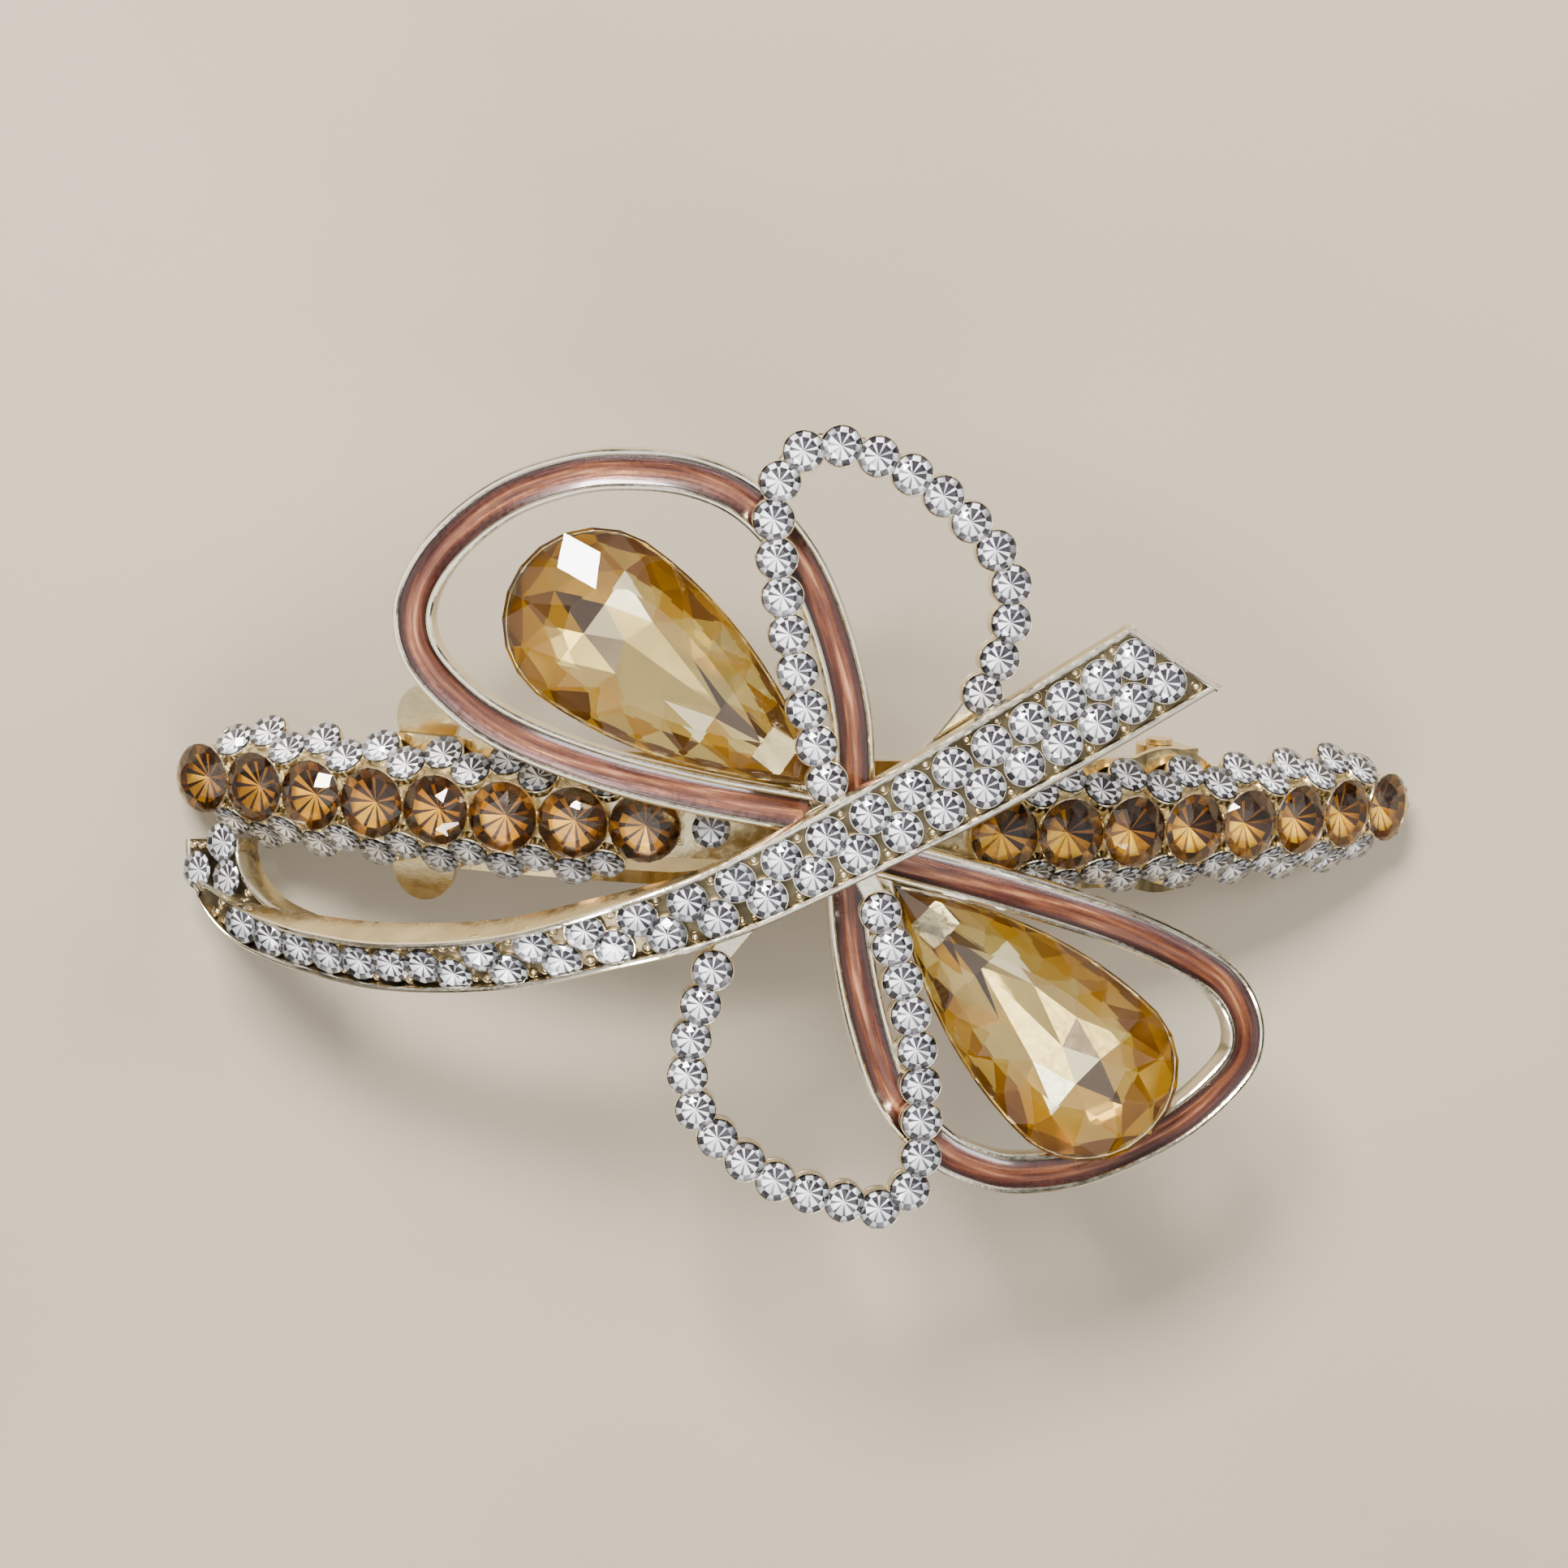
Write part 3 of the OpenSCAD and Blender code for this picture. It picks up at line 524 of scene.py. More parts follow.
def stone_place(points):
    """(foot, axes, radius) of the plain stone with these corners. Its wide end is its foot."""
    middle = points.mean(0)
    q = points - middle
    axis = np.linalg.eigh(q.T @ q)[1][:, 0]
    h = q @ axis
    r = np.linalg.norm(q - np.outer(h, axis), axis=1)
    if r[h > h.max() - END_DEPTH].max() > r[h < h.min() + END_DEPTH].max():
        axis, h = -axis, -h
    side = unit(np.cross(axis, SIDE_HINT))
    return middle + axis * h.min(), (side, axis, np.cross(side, axis)), r.max()


def scatter(i, k=0):
    """Repeatable number from 0 to 1."""
    return (math.sin(i * 12.9898 + k * 78.233 + 1.7) * 43758.5453) % 1.0


def crown_faces(n):
    """Facets of a crown over rings of n table, n star, 2n girdle and 2n lower girdle points. They face
    out when the rings run anticlockwise, seen from above."""
    mid, gird, base = n, 2 * n, 4 * n
    faces = [list(range(n))]
    for k in range(n):
        nxt, prev = (k + 1) % n, (k - 1) % n
        g0, g1, g2 = gird + 2 * k, gird + 2 * k + 1, gird + (2 * k + 2) % (2 * n)
        faces += [[k, mid + k, nxt], [k, mid + prev, g0, mid + k], [mid + k, g0, g1], [mid + k, g1, g2]]
    faces += [[gird + k, base + k, base + (k + 1) % (2 * n), gird + (k + 1) % (2 * n)]
              for k in range(2 * n)]
    return faces


def round_stone(parts, foot, axes, r, seed, lift, sink, table=TABLE_R, n=8,
                tones_of=(0.25, 0.72, 0.37, 0.36)):
    """Brilliant-cut stone: clear crown in slot 0, foiled back in slot 1. Its girdle is lifted over the
    foot and its point is sunk below it. The back is painted from dark on its shaded side to light on the
    other (painted shade), and its wedges are painted lighter and darker by turns (painted reflections):
    tones_of is the dark, the light, the wedges' swing and the swing of the facets along the girdle."""
    dark, light, swing, rim_swing = tones_of
    side, up, ahead = axes
    turn = scatter(seed) * 2 * math.pi / n

    def ring(radius, height, count, shift=0.0):
        return [foot + up * (lift + height) + (side * math.cos(a) + ahead * math.sin(a)) * radius
                for a in (turn + 2 * math.pi * (k + shift) / count for k in range(count))]

    def lit(pair):
        """Share of painted light on the back at a pair of wedges, from 0 to 1; less is painted towards the
        shaded side.
        """
        a = turn + 2 * math.pi * (pair + 0.25) / n
        rear = float((side * math.cos(a) + ahead * math.sin(a)) @ PAINTED_SHADE_SIDE)
        return min(1.0, max(0.0, HALF_LIT - LIT_SLOPE * rear))

    def wedge_point(k):
        share = LIGHT_SHARE + LIGHT_GAIN * lit(k // 2)
        shift = 0.25 + share * (1 if k % 2 else -1)
        return ring(r * WEDGE_R, -WEDGE_SINK * (lift + sink), n, shift)[k // 2]

    verts = ring(r * table, r * CROWN_RISE, n) + ring(r * STAR_R, r * CROWN_RISE * STAR_RISE, n, 0.5)
    verts += ring(r, 0, 2 * n) + ring(r, -GIRDLE_T, 2 * n)
    verts += [wedge_point(k) for k in range(2 * n)] + [foot - up * sink]
    faces = crown_faces(n)
    slots = [0] * len(faces)
    tones = [0.5] * len(faces)
    base, low, tip = 4 * n, 6 * n, 8 * n
    # Back: wedges run to the point, painted light and dark by turns as painted reflections, and short facets
    # fan along the girdle; all are painted darker towards the shaded side
    for k in range(2 * n):
        nxt = (k + 1) % (2 * n)
        sign = -1 if k % 2 else 1
        here = lit(k / 2)
        wedge = dark + (light - dark) * here + sign * swing + 0.25 * (scatter(seed, 20 + k) - 0.5)
        rim = dark + (light - dark) * (0.15 + 0.7 * here) - sign * rim_swing \
            + 0.5 * (scatter(seed, 60 + k) - 0.5)
        faces += [[low + k, tip, low + nxt],
                  [low + k, base + nxt, base + k],
                  [low + k, low + nxt, base + nxt]]
        slots += [1, 1, 1]
        tones += [wedge, rim, rim * 0.8]
    parts.add(verts, [f[::-1] for f in faces], slots, tones)


CLEAR = ([CLEAR_GLASS, CLEAR_FOIL], "clear_glass")
AMBER = ([AMBER_GLASS, AMBER_FOIL], "amber_glass")


def stones(node, finish, grow, seed, lift=STONE_LIFT, sink=-0.05, **cut):
    """Cut stones in place of a CAD node's plain ones, which they grow over."""
    parts = Parts()
    for i, (foot, axes, r) in enumerate(stone_places(node)):
        round_stone(parts, foot, axes, r * grow, seed + i, lift, sink, **cut)
    parts.piece(node, *finish, [node], sharp=1)


# ---- Pear stones ----

PEAR_SIDES = 16
# Place along a pear towards which its outline shrinks
PEAR_MIDDLE = 0.56
# Rings of a pear stone from the table down: points for each side, shares of the length and of the width,
# height, and the shift along the outline
PEAR_RINGS = [(1, 0.62, 0.52, PEAR_GIRDLE + PEAR_CROWN, 0),
              (1, 0.84, 0.80, PEAR_GIRDLE + PEAR_CROWN * 0.62, 1),
              (2, 1, 1, PEAR_GIRDLE, 0),
              (2, 1, 1, PEAR_GIRDLE - 0.2, 0),
              (1, 0.88, 0.83, PEAR_GIRDLE - 0.95, 1),
              (1, 0.72, 0.60, PEAR_GIRDLE - 1.6, 0),
              (0.5, 0.5, 0.34, PEAR_GIRDLE - 2.2, 1)]
KEEL_ENDS, KEEL_DEPTH = (0.34, 0.66), 2.7
# Section of the bezel: shares of the length and of the width, and the height
BEZEL = [(0.82, 0.75, 0.4), (0.86, 0.81, 0.35), (0.985, 0.98, 1.3), (0.985, 0.98, 1.6), (0.965, 0.955, 1.6)]
BEZEL_POINTS = 64
# Tongue from the knot under the pear's tip
TONGUE_FROM, TONGUE_TO, TONGUE_TOP, TONGUE_POINTS = -3.5, 5.5, 1.0, 10
TIP_BEADS = ((0.4, 0.85), (1.3, 1.15), (-0.5, 0.5), (0.4, -0.85), (1.3, -1.15))
TIP_BEAD_R = 0.34
# Tone of the back facets at a pear's round end, and how much they keep to it
GOLD_TONE, GOLD_HOLD = 0.34, 0.45


def pear_half(u):
    """Half width of a pear at a share of its length."""
    if u > PEAR_BELLY:
        return PEAR_W / 2 * math.sqrt(max(0.0, 1 - ((u - PEAR_BELLY) / (1 - PEAR_BELLY)) ** 2))
    return PEAR_W / 2 * (1 - ((PEAR_BELLY - u) / PEAR_BELLY) ** 2)


def pear_outline(count):
    """Points round a pear from its tip, evenly spaced along the edge."""
    u = (1 - np.cos(np.linspace(0, math.pi, 200))) / 2
    edge = [(a * PEAR_L, pear_half(a)) for a in u]
    loop = np.array([(x, -y) for x, y in edge] + edge[::-1][1:])
    run = np.concatenate([[0], np.cumsum(np.linalg.norm(np.diff(loop, axis=0), axis=1))])
    s = np.linspace(0, run[-1], count + 1)[:-1]
    return np.stack([np.interp(s, run, loop[:, 0]), np.interp(s, run, loop[:, 1])], 1)


def pear_frame(where):
    """Place of a pear's tip, and the turn from its own directions to the row's."""
    x, y, direction, rise = where
    turn = Matrix.Rotation(math.radians(direction), 3, "Z") @ Matrix.Rotation(math.radians(-rise), 3, "Y")
    return np.array([x, y, FACE_HEIGHT]), np.array(turn)


def pear_ring(where, count, along, across, height, shift=0):
    """Outline scaled towards the pear's middle, at a height, in the row frame."""
    origin, turn = pear_frame(where)
    mid = PEAR_MIDDLE * PEAR_L
    pts = pear_outline(2 * count)[shift::2]
    local = np.stack([mid + (pts[:, 0] - mid) * along, pts[:, 1] * across, np.full(count, height)], 1)
    return list(local @ turn.T + origin)


def towards_gold(tone, turn):
    """The tone, drawn to gold near the round end. The turn goes from 0 at the tip round to 1."""
    hold = GOLD_HOLD * (1 - abs(2 * turn - 1)) ** 0.7
    return tone + (GOLD_TONE - tone) * hold


def pear_slopes(n, seed):
    """Facets of a pear's back from its girdle to the ring of n // 2 points, and their tones: painted
    reflections, drawn to gold near the round end.
    """
    faces, tones = [], []
    base, one, two = 4 * n, 6 * n, 7 * n
    for k in range(n):
        nxt = (k + 1) % n
        g0, g1, g2 = base + 2 * k, base + 2 * k + 1, base + (2 * k + 2) % (2 * n)
        faces += [[one + k, g1, g0], [one + k, g2, g1], [one + nxt, g2, one + k],
                  [one + k, two + nxt, one + nxt], [one + k, two + k, two + nxt]]
        ring_tones = (0.1 + 0.45 * scatter(seed, k), 0.15 + 0.45 * scatter(seed, 30 + k),
                      0.2 + 0.5 * scatter(seed, 60 + k) ** 2, 0.05 + 0.85 * scatter(seed, 190 + k),
                      0.15 + 0.6 * scatter(seed, 210 + k))
        tones += [towards_gold(tone, (k + 0.5) / n) for tone in ring_tones]
    return faces, tones


def pear_keel(n, seed):
    """Facets of a pear's back inside its ring of n // 2 points, down to the keel, and their tones: painted
    reflections, with pale, white and dark facets.
    """
    faces, tones = [], []
    two, three = 7 * n, 8 * n
    keel = three + n // 2
    for k in range(n // 2):
        nxt = (k + 1) % (n // 2)
        outer = two + (2 * k + 2) % n
        faces += [[three + k, two + 2 * k + 1, two + 2 * k],
                  [three + k, outer, two + 2 * k + 1],
                  [three + k, three + nxt, outer],
                  [keel + (n / 8 <= k + 0.5 < 3 * n / 8), three + nxt, three + k]]
        near = (k + 0.5) / (n // 2)
        tones += [towards_gold(0.5 + 0.35 * scatter(seed, 90 + k), near),
                  towards_gold(0.6 + 0.35 * scatter(seed, 110 + k), near),
                  (0.72, 1.0, 0.12, 0.7)[(k + seed) % 4], (0.7, 0.74, 0.95, 0.1)[(k + seed) % 4]]
    faces += [[keel + 1, three + n // 8, keel], [keel, three + 3 * n // 8, keel + 1]]
    return faces, tones + [0.72, 0.7]


def pear_stone(name, where, seed):
    """Pear-shaped brilliant with a long table and a keel below."""
    n = PEAR_SIDES
    verts = []
    for share, along, across, height, shift in PEAR_RINGS:
        verts += pear_ring(where, int(n * share), along, across, height, shift)
    origin, turn = pear_frame(where)
    verts += [origin + turn @ np.array([x * PEAR_L, 0, PEAR_GIRDLE - KEEL_DEPTH]) for x in KEEL_ENDS]
    crown = crown_faces(n)
    # The band under the girdle is foiled, and the facets over it are clear
    clear = len(crown) - 2 * n
    # Tones of the foiled band under the girdle: painted reflections
    band_tones = [0.25 + 0.25 * scatter(seed, k) for k in range(2 * n)]
    slopes, slope_tones = pear_slopes(n, seed)
    keel, keel_tones = pear_keel(n, seed)
    slots = [0] * clear + [1] * (2 * n + len(slopes) + len(keel))
    parts = Parts()
    parts.add(verts, crown + slopes + keel, slots, [0.5] * clear + band_tones + slope_tones + keel_tones)
    parts.piece(name, [PEAR_GLASS, PEAR_FOIL], "champagne_glass", [name], sharp=1)


def pear_seat(name, where):
    """Open bezel under the girdle, a tongue to the knot and beads beside the tip."""
    parts = Parts()
    verts = [p for along, across, height in BEZEL
             for p in pear_ring(where, BEZEL_POINTS, along, across, height)]
    m = len(BEZEL)
    faces = []
    for j in range(m):
        here, above = j * BEZEL_POINTS, ((j + 1) % m) * BEZEL_POINTS
        for k in range(BEZEL_POINTS):
            nxt = (k + 1) % BEZEL_POINTS
            faces.append([here + k, here + nxt, above + nxt, above + k])
    parts.add(verts, faces)
    origin, turn = pear_frame(where)
    places = np.linspace(TONGUE_FROM, TONGUE_TO, TONGUE_POINTS)
    tongue = np.array([(x, 0, TONGUE_TOP) for x in places]) @ turn.T + origin
    path = Path(tongue, [turn[:, 2]] * TONGUE_POINTS)
    widths = np.interp(np.arange(TONGUE_POINTS), [0, 4, 9], [1.0, 1.5, 1.1])
    sweep(parts, path, [[(-w, -0.8), (w, -0.8), (w, -0.15), (w - 0.15, 0), (0.15 - w, 0), (-w, -0.15)]
                        for w in widths])
    for x, y in TIP_BEADS:
        at = np.array([x, y, TONGUE_TOP]) @ turn.T + origin
        ringed_bead(parts, at, (turn[:, 0], turn[:, 2], -turn[:, 1]), TIP_BEAD_R)
    parts.piece(name, [PALE_GOLD], "pale_gold", [name])


# ---- Metal of the ornament ----

EASE = 0.12
# Slots of a channel's sides: bright rims, floor and inner walls in dark plating as painted shade, and golden
# back and outer walls
CHANNEL_SIDES = [2] * 3 + [0] * 5 + [1] * 8 + [0] * 5 + [2] * 2
RIBBON_METALS = [PALE_GOLD, RECESS_SHADE_GOLD, BAR_GOLD]
ENAMEL_FLOOR, ENAMEL_LOW, ENAMEL_RISE = 0.78, 0.47, 0.2
STRIP_SECTION = [(-0.7, -STRIP_T), (0.7, -STRIP_T), (0.8, 0.1 - STRIP_T), (0.8, -0.12), (0.68, 0),
                 (-0.68, 0), (-0.8, -0.12), (-0.8, 0.1 - STRIP_T)]
# Sections of the rings round the ribbon's stones and of the cups of the amber stones: radius and height
RIBBON_RING = [(1.44, -0.2), (1.5, 0.1), (1.47, 0.22), (1.4, 0.22), (1.38, -0.2)]
AMBER_CUP = [(1.2, -0.75), (2.3, -0.6), (2.5, -0.1), (2.56, 0.2), (2.52, 0.3), (2.46, 0.28), (2.4, -0.1),
             (1.2, -0.65)]
# Drop of the ribbon from its middle to the left and to the right, for each square of x
SAG_LEFT, SAG_RIGHT = 0.0087, 0.0024
# Narrowest rim of the ribbon, and half the floor that a stone needs
LEAST_RIM, STONE_FLOOR = 0.15, 1.25
# Beads along the ribbon: first, limit and last from the ends, their step, and their distance from the rim
BEADS_FROM, BEADS_TO, BEADS_LAST, BEADS_STEP, BEADS_INSET = 2.4, 1.2, 0.95, 0.85, 0.34
# Least room from a bead to a stone's middle, what the stone takes of it, and the largest bead
BEAD_ROOM, STONE_TAKES, BEAD_R = 1.5, 1.38, 0.4
# Beads on the fold: distance from its ends and sides, step, least room to a stone's middle, and radius
FOLD_ENDS, FOLD_SIDES, FOLD_STEP, FOLD_ROOM, FOLD_BEAD_R = 0.5, (0.75, 0.7), 0.8, 1.65, 0.3
# Beads on the bar beside the knot
BAR_BEADS_X, BAR_BEADS_Y, BAR_BEAD_R = (-10.2, -8.9, -7.7, 9.2), (-1.0, 0.1, 1.1), 0.33


def channel(half, rim, depth, t):
    """Cross-section of a channel with rounded rims and eased lower edges."""
    def rim_arc(x):
        return [(x + rim / 2 * math.cos(a), -rim / 2 + rim / 2 * math.sin(a))
                for a in np.linspace(0, math.pi, 6)]

    right, left = rim_arc(half - rim / 2), rim_arc(rim / 2 - half)
    inner = half - rim
    floor = [(inner * c, -depth) for c in (1, 0.8, 0.45, 0, -0.45, -0.8, -1)]
    below = [(EASE - half, -t), (half - EASE, -t), (half, EASE - t)]
    return below + right + floor + left + [(-half, EASE - t)]


def bow_path(points, top):
    """Smooth path through the points, at a height over the bow's arch."""
    line = np.array([(x, y, arch(x, BOW_RADIUS) + top + FACE_HEIGHT) for x, y in curve(points)])
    return Path(line, [facing(p[0], BOW_RADIUS) for p in line])


def enamel_loop(side, points):
    """Channel along a loop of the bow, and the enamel in it, which stands higher along its edges."""
    path = bow_path(points, ENAMEL_TOP)
    half = ENAMEL_W / 2
    inner = half - RAIL_W
    rails = Parts()
    sweep(rails, path, [channel(half, RAIL_W, GROOVE_DEPTH, ENAMEL_H)] * len(path.line))
    rails.piece("enamel_frame_" + side, [PALE_GOLD], "pale_gold", ["enamel_frame_" + side])
    fill = Parts()
    top = [(inner * c, -ENAMEL_LOW + ENAMEL_RISE * c * c) for c in np.linspace(1, -1, 9)]
    section = [(-inner, -ENAMEL_FLOOR), (inner, -ENAMEL_FLOOR)] + top
    sweep(fill, path, [section] * len(path.line))
    fill.piece("enamel_fill_" + side, [ENAMEL], "brown_enamel", ["enamel_fill_" + side])


def stone_cup(parts, foot, axes, r, height):
    """Round cup that hugs a stone, with its foot a little under it."""
    section = [(r * 0.2, -0.5), (r + 0.08, -0.5), (r + 0.12, -0.35), (r + 0.14, height - 0.08),
               (r + 0.09, height), (r + 0.02, height - 0.05), (r - 0.02, 0.0), (r * 0.2, 0.0)]
    lathe(parts, foot, axes, section, sides=28, closed=False)


def strip_post(parts, foot, axes, r):
    """Short round post between a cup and the strip."""
    section = [(0.05, -0.5), (r + 0.02, -0.5), (r + 0.12, -0.38), (r + 0.12, 0), (0.05, 0)]
    lathe(parts, foot, axes, section, sides=28, closed=False)


def stone_strip(side, points):
    """Thin strip along a loop of the bow, with a cup for each stone."""
    path = bow_path(points, STRIP_TOP)
    parts = Parts()
    sweep(parts, path, [STRIP_SECTION] * len(path.line))
    for foot, axes, _ in stone_places("strip_stones_" + side):
        stone_cup(parts, foot - axes[1] * 0.1, axes, STRIP_CUP_R, STRIP_CUP_H)
        strip_post(parts, foot - axes[1] * 0.5, axes, STRIP_CUP_R)
    parts.piece("stone_strip_" + side, [PALE_GOLD], "pale_gold", ["stone_strip_" + side])


def ribbon_rim(w):
    """Width of the ribbon's rim where the ribbon is w wide. The tip is nearly all rim."""
    if w < 1:
        return max(w / 2 - LEAST_RIM, 0.05)
    return min(RIM_W, max(LEAST_RIM, w / 2 - STONE_FLOOR))


def ribbon_beads(parts, path, stations, feet):
    """Ringed beads along both rims, wherever the stones leave room."""
    for s in (*np.arange(BEADS_FROM, path.total - BEADS_TO, BEADS_STEP), path.total - BEADS_LAST):
        point, axes = path.at(s)
        w, t, slant = (path.value(stations[:, k], s) for k in (2, 4, 5))
        for edge in (-1, 1):
            a = edge * (w / 2 - ribbon_rim(w) - BEADS_INSET)
            at = point + axes[0] * a + axes[2] * slant * a - axes[1] * min(FLOOR_DEPTH, t / 2)
            gap = np.linalg.norm(feet - at, axis=1).min()
            if gap > BEAD_ROOM:
                ringed_bead(parts, at, axes, min(BEAD_R, gap - STONE_TAKES))


def end_rim(parts, end, axes, width, slant):
    """Rim along the ribbon's cut end."""
    side, up, ahead = axes
    along = side + ahead * slant
    line = np.array([end + along * a - ahead * RIM_W * 0.6 for a in np.linspace(-width / 2, width / 2, 5)])
    section = [(-RIM_W / 2, -FLOOR_DEPTH - 0.1), (RIM_W / 2, -FLOOR_DEPTH - 0.1), (RIM_W / 2, -EASE),
               (RIM_W / 4, 0), (-RIM_W / 4, 0), (-RIM_W / 2, -EASE)]
    sweep(parts, Path(line, [up] * 5), [section] * 5)


def ribbon():
    """Deep channel across the bow, with rings and beads between its stones."""
    stations = curve(RIBBON)
    sag = np.where(stations[:, 0] > 0, SAG_RIGHT, SAG_LEFT) * stations[:, 0] ** 2
    line = np.column_stack([stations[:, :2], RIBBON_TOP + FACE_HEIGHT - sag])
    path = Path(line, [np.array([0, 0, 1.0])] * len(line), stations[:, 3])
    parts = Parts()
    sections = [channel(q[2] / 2, ribbon_rim(q[2]), min(FLOOR_DEPTH, q[4] / 2), q[4]) for q in stations]
    sweep(parts, path, sections, stations[:, 5], CHANNEL_SIDES)
    places = [place for row in ("rear_row", "front_row", "single_row")
              for place in stone_places("ribbon_stones_" + row)]
    ribbon_beads(parts, path, stations, np.array([foot for foot, _, _ in places]))
    for foot, axes, _ in places:
        lathe(parts, foot, axes, RIBBON_RING)
    end_rim(parts, path.line[-1], path.frames[-1], stations[-1, 2], stations[-1, 5])
    parts.piece("ribbon_band", RIBBON_METALS, "pale_gold", ["ribbon_band"])


def fold():
    """The ribbon's fold round the bar's left tip."""
    stations = curve(FOLD)
    line = stations[:, :3] + np.array([0, 0, FACE_HEIGHT])
    path = Path(line, [facing(q[0], BAR_RADIUS) for q in stations])
    parts = Parts()
    depth = FLOOR_DEPTH / 2
    sweep(parts, path, [channel(q[3] / 2, RIM_W, depth, FOLD_T) for q in stations], sides=CHANNEL_SIDES)
    feet = np.array([foot for foot, _, _ in stone_places("fold_stones")])
    for s in np.arange(FOLD_ENDS, path.total - FOLD_ENDS, FOLD_STEP):
        w = path.value(stations[:, 3], s)
        point, axes = path.at(s)
        for a in np.arange(-w / 2 + FOLD_SIDES[0], w / 2 - FOLD_SIDES[1], FOLD_STEP):
            at = point + axes[0] * a - axes[1] * depth
            if np.linalg.norm(feet - at, axis=1).min() > FOLD_ROOM:
                ringed_bead(parts, at, axes, FOLD_BEAD_R)
    parts.piece("ribbon_fold", RIBBON_METALS, "pale_gold", ["ribbon_fold"])


def bar():
    """Arched bar between the rows of stones: a ridge, two flanks, and rounded, narrowing tips."""
    angles = np.linspace(-BAR_TIP_ANGLE, BAR_TIP_ANGLE, 121)
    ups = [np.array([math.sin(a), 0, math.cos(a)]) for a in np.radians(angles)]
    middle = np.array([0, 0, FACE_HEIGHT - BAR_RADIUS])
    path = Path(np.array([middle + up * (BAR_RADIUS - RIDGE_SINK) for up in ups]), ups)
    sections = []
    for w in np.interp(np.abs(angles), *zip(*BAR_HALVES)):
        ridge = min(RIDGE_HALF, w - 0.1)
        sections.append([(0.1 - w, -BAR_THICK), (w - 0.1, -BAR_THICK), (w, ridge - w),
                         (ridge, 0), (-ridge, 0), (-w, ridge - w)])
    parts = Parts()
    sweep(parts, path, sections)
    parts.piece("bar_base", [BAR_GOLD], "pale_gold", ["bar_base"])


def bar_settings():
    """Cups of the amber and flank stones, and the beads beside the knot, on top of the bar."""
    parts = Parts()
    for node in ("amber_stones_left", "amber_stones_right"):
        for foot, axes, _ in stone_places(node):
            lathe(parts, foot, axes, AMBER_CUP, sides=40)
    for node in FLANKS:
        for foot, axes, _ in stone_places(node):
            stone_cup(parts, foot, axes, FLANK_CUP_R, FLANK_CUP_H)
    side = np.array([0, 1.0, 0])
    for x in BAR_BEADS_X:
        up = facing(x, BAR_RADIUS)
        for y in BAR_BEADS_Y:
            at = np.array([x, y, arch(x, BAR_RADIUS) - RIDGE_SINK + FACE_HEIGHT])
            ringed_bead(parts, at, (side, up, np.cross(side, up)), BAR_BEAD_R)
    parts.piece("bar_settings", [PALE_GOLD], "pale_gold")


CLIP_FINISH = {"top_plate": CLIP_GOLD, "lower_arm": CLIP_GOLD, "hinge_pin": CLIP_GOLD,
               "leaf_rivets": CLIP_GOLD, "catch_bridge": CLIP_GOLD, "catch_rivet": CLIP_GOLD,
               "tension_leaf": SPRING_GOLD, "catch_leg_rear": SPRING_GOLD, "catch_leg_front": SPRING_GOLD,
               "centre_boss": PALE_GOLD}


def finish_cad_nodes():
    """Plating and softened edges on the CAD pieces that stay."""
    for name, material in CLIP_FINISH.items():
        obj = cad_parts[name]
        obj.data.materials.clear()
        obj.data.materials.append(material)
        bevel = obj.modifiers.new("edges", "BEVEL")
        bevel.width = EASE * MM
        bevel.segments = 2
        bevel.limit_method = "ANGLE"
        bevel.angle_limit = math.radians(40)


# ---- Stage ----

# Gap between the clip's lowest point and the floor, and half the floor's side, in metres
FLOOR_GAP, FLOOR_HALF = 0.0001, 3
# Patches of the sky: how many, the part of their noise that is used, and the gain that it gives
PATCH_SCALE, PATCH_NOISE, PATCH_GAIN = 3.4, (0.38, 0.62), (0.1, 2.6)
# Place and size in metres, power in watts and colour of each light
LIGHTS = {"key": ((-0.18, 0.40, 0.50), (0.22, 0.16), 20.5, (1.0, 0.98, 0.95)),
          "fill": ((0.42, 0.22, 0.42), (0.2, 0.2), 4.6, (0.95, 0.97, 1.0)),
          "strip": ((-0.05, -0.42, 0.38), (0.5, 0.06), 3.5, (1.0, 1.0, 1.0))}


def studio_sky(tree):
    """Room round the stage: bright overhead, dim at the horizon, with soft lighter and darker patches."""
    add = tree.nodes.new
    coords = add("ShaderNodeTexCoord").outputs["Generated"]
    height = add("ShaderNodeSeparateXYZ")
    tree.links.new(coords, height.inputs["Vector"])
    ramp = add("ShaderNodeValToRGB")
    set_stops(ramp.color_ramp, [(0.0, (0.12, 0.10, 0.085)), (0.85, (0.80, 0.82, 0.86))])
    tree.links.new(height.outputs["Z"], ramp.inputs["Fac"])
    patches = add("ShaderNodeTexNoise")
    patches.inputs["Scale"].default_value = PATCH_SCALE
    patches.inputs["Detail"].default_value = 1
    tree.links.new(coords, patches.inputs["Vector"])
    gain = add("ShaderNodeMapRange")
    gain.inputs["From Min"].default_value, gain.inputs["From Max"].default_value = PATCH_NOISE
    gain.inputs["To Min"].default_value, gain.inputs["To Max"].default_value = PATCH_GAIN
    tree.links.new(patches.outputs["Fac"], gain.inputs["Value"])
    background = tree.nodes["Background"]
    tree.links.new(ramp.outputs["Color"], background.inputs["Color"])
    tree.links.new(gain.outputs["Result"], background.inputs["Strength"])


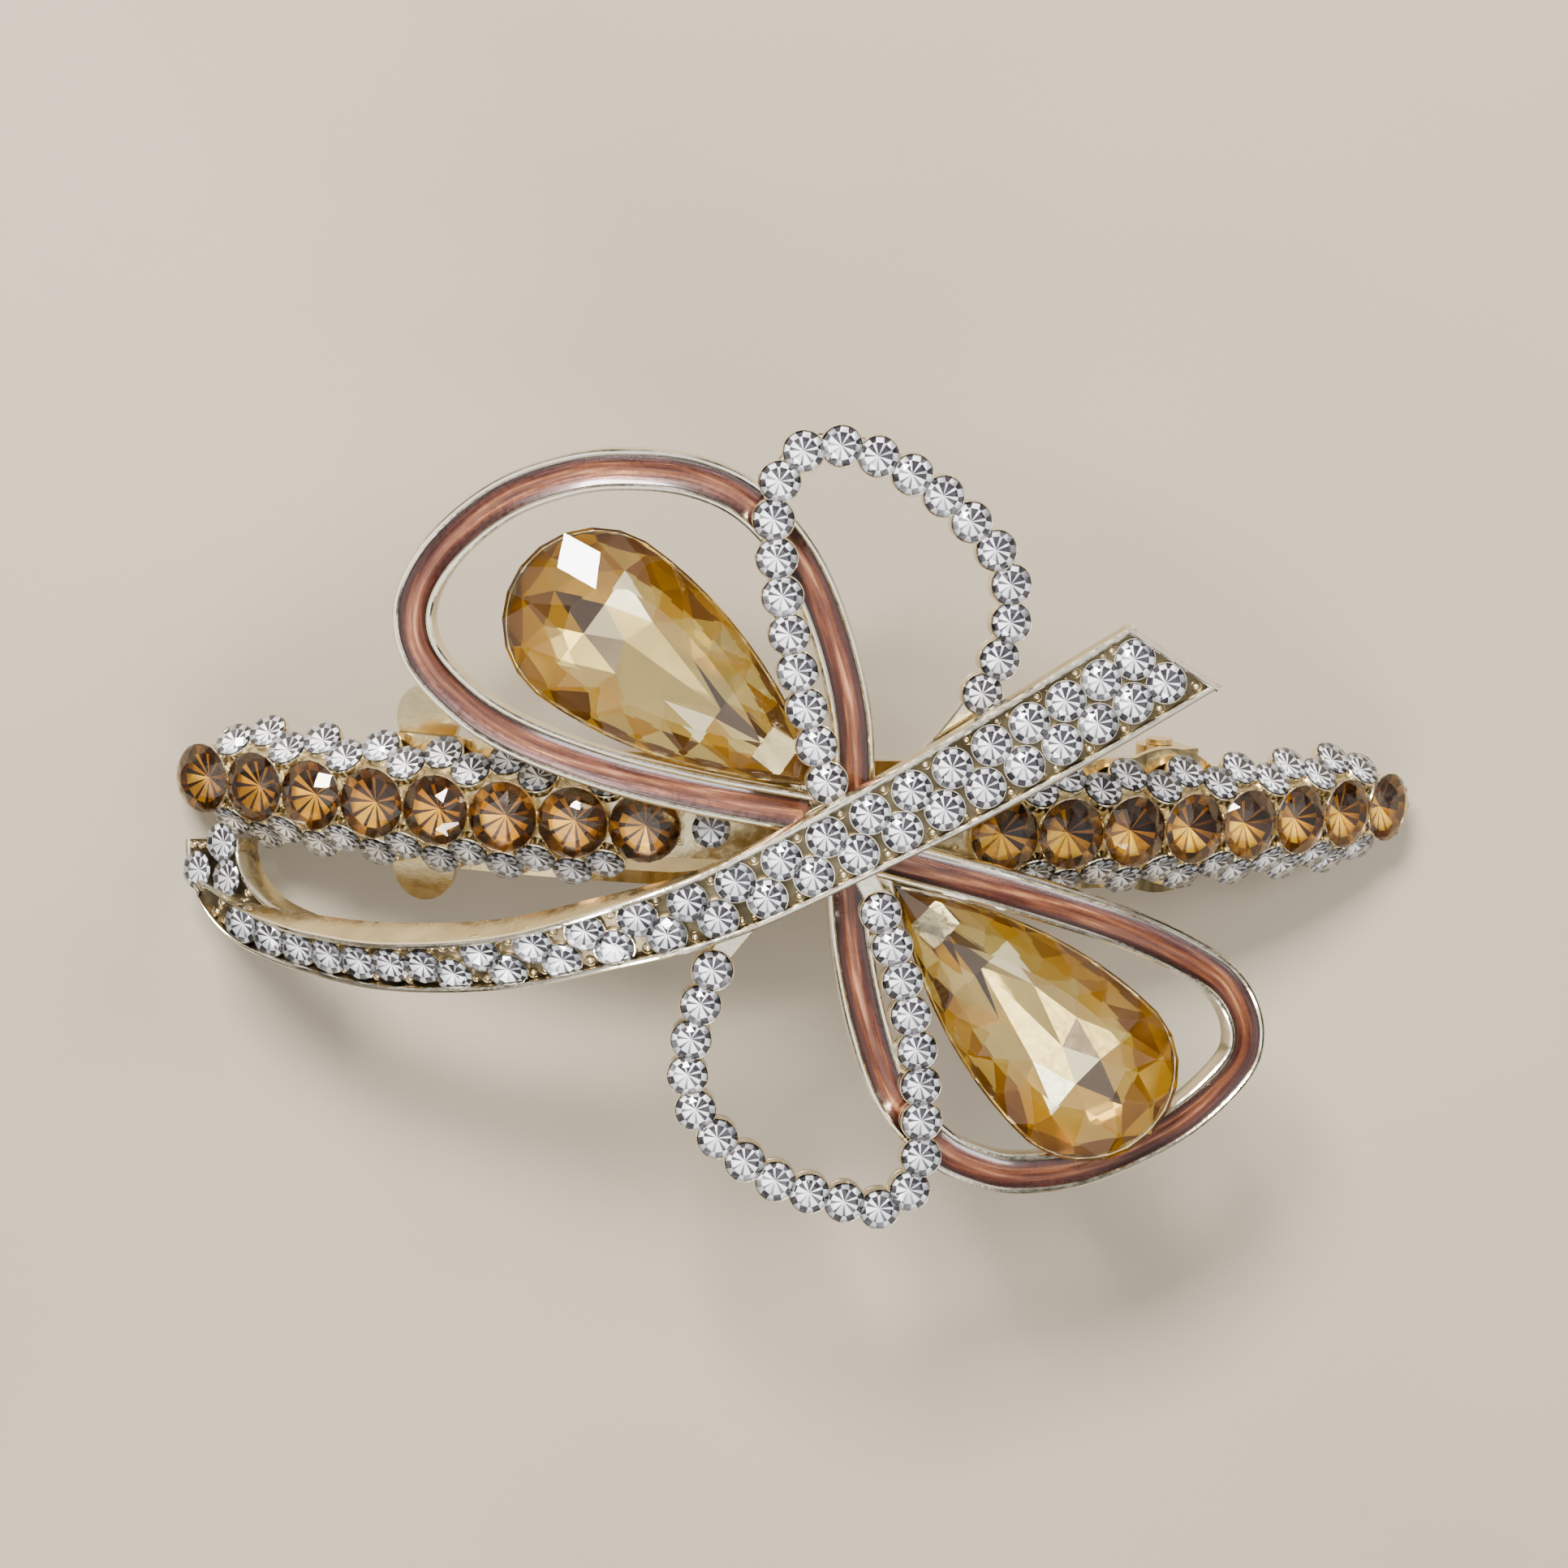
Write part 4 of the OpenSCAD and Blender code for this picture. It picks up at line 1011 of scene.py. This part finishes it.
def make_floor():
    """Plain pale floor just under the closed clip."""
    low = cad_bounds[0].z - FLOOR_GAP
    corners = [(x * FLOOR_HALF, y * FLOOR_HALF, low) for x, y in ((-1, -1), (1, -1), (1, 1), (-1, 1))]
    mesh = bpy.data.meshes.new("floor")
    mesh.from_pydata(corners, [], [(0, 1, 2, 3)])
    mesh.materials.append(floor_paper())
    floor = bpy.data.objects.new("floor", mesh)
    bpy.context.scene.collection.objects.link(floor)


def make_light(name, at, size, power, tone):
    """Rectangular light that faces the middle of the clip."""
    data = bpy.data.lights.new(name, "AREA")
    data.shape = "RECTANGLE"
    data.size, data.size_y = size
    data.energy = power
    data.color = tone
    light = bpy.data.objects.new(name, data)
    light.location = at
    light.rotation_euler = (-Vector(at)).to_track_quat("-Z", "Y").to_euler()
    # The fill would be a white square in the large facets of the pears
    light.visible_glossy = name != "fill"
    bpy.context.scene.collection.objects.link(light)


def make_stage():
    """Floor, sky and lights."""
    make_floor()
    world = bpy.data.worlds.new("studio")
    world.use_nodes = True
    studio_sky(world.node_tree)
    bpy.context.scene.world = world
    for name, settings in LIGHTS.items():
        make_light(name, *settings)


make_camera()
make_stage()
finish_cad_nodes()
enamel_loop("rear", ENAMEL_REAR)
enamel_loop("front", ENAMEL_FRONT)
stone_strip("rear", STRIP_REAR)
stone_strip("front", STRIP_FRONT)
ribbon()
fold()
bar()
bar_settings()
pear_seat("pear_seat_rear", PEAR_REAR)
pear_seat("pear_seat_front", PEAR_FRONT)
pear_stone("pear_stone_rear", PEAR_REAR, 7)
pear_stone("pear_stone_front", PEAR_FRONT, 11)
# Tones of the amber stones' backs: painted shade and painted reflections, with the right-hand row painted
# lighter than the left
for i, (node, tones_of) in enumerate((("amber_stones_left", (0.14, 0.48, 0.27, 0.08)),
                                     ("amber_stones_right", (0.12, 0.72, 0.21, 0.08)))):
    stones(node, AMBER, AMBER_R / AMBER_CAD_R, 100 + 20 * i, AMBER_LIFT, AMBER_SINK,
           table=AMBER_TABLE, n=10, tones_of=tones_of)
for i, node in enumerate(FLANKS):
    stones(node, CLEAR, FLANK_R / FLANK_CAD_R, 200 + 30 * i)
for i, node in enumerate(("strip_stones_rear", "strip_stones_front")):
    stones(node, CLEAR, STRIP_R / STRIP_CAD_R, 400 + 30 * i, STRIP_LIFT)
stones("ridge_stone", CLEAR, RIDGE_STONE_R / FLANK_CAD_R, 380)
for i, node in enumerate(("ribbon_stones_rear_row", "ribbon_stones_front_row",
                          "ribbon_stones_single_row", "fold_stones")):
    stones(node, CLEAR, RIBBON_STONE_R / RIBBON_CAD_R, 500 + 30 * i)
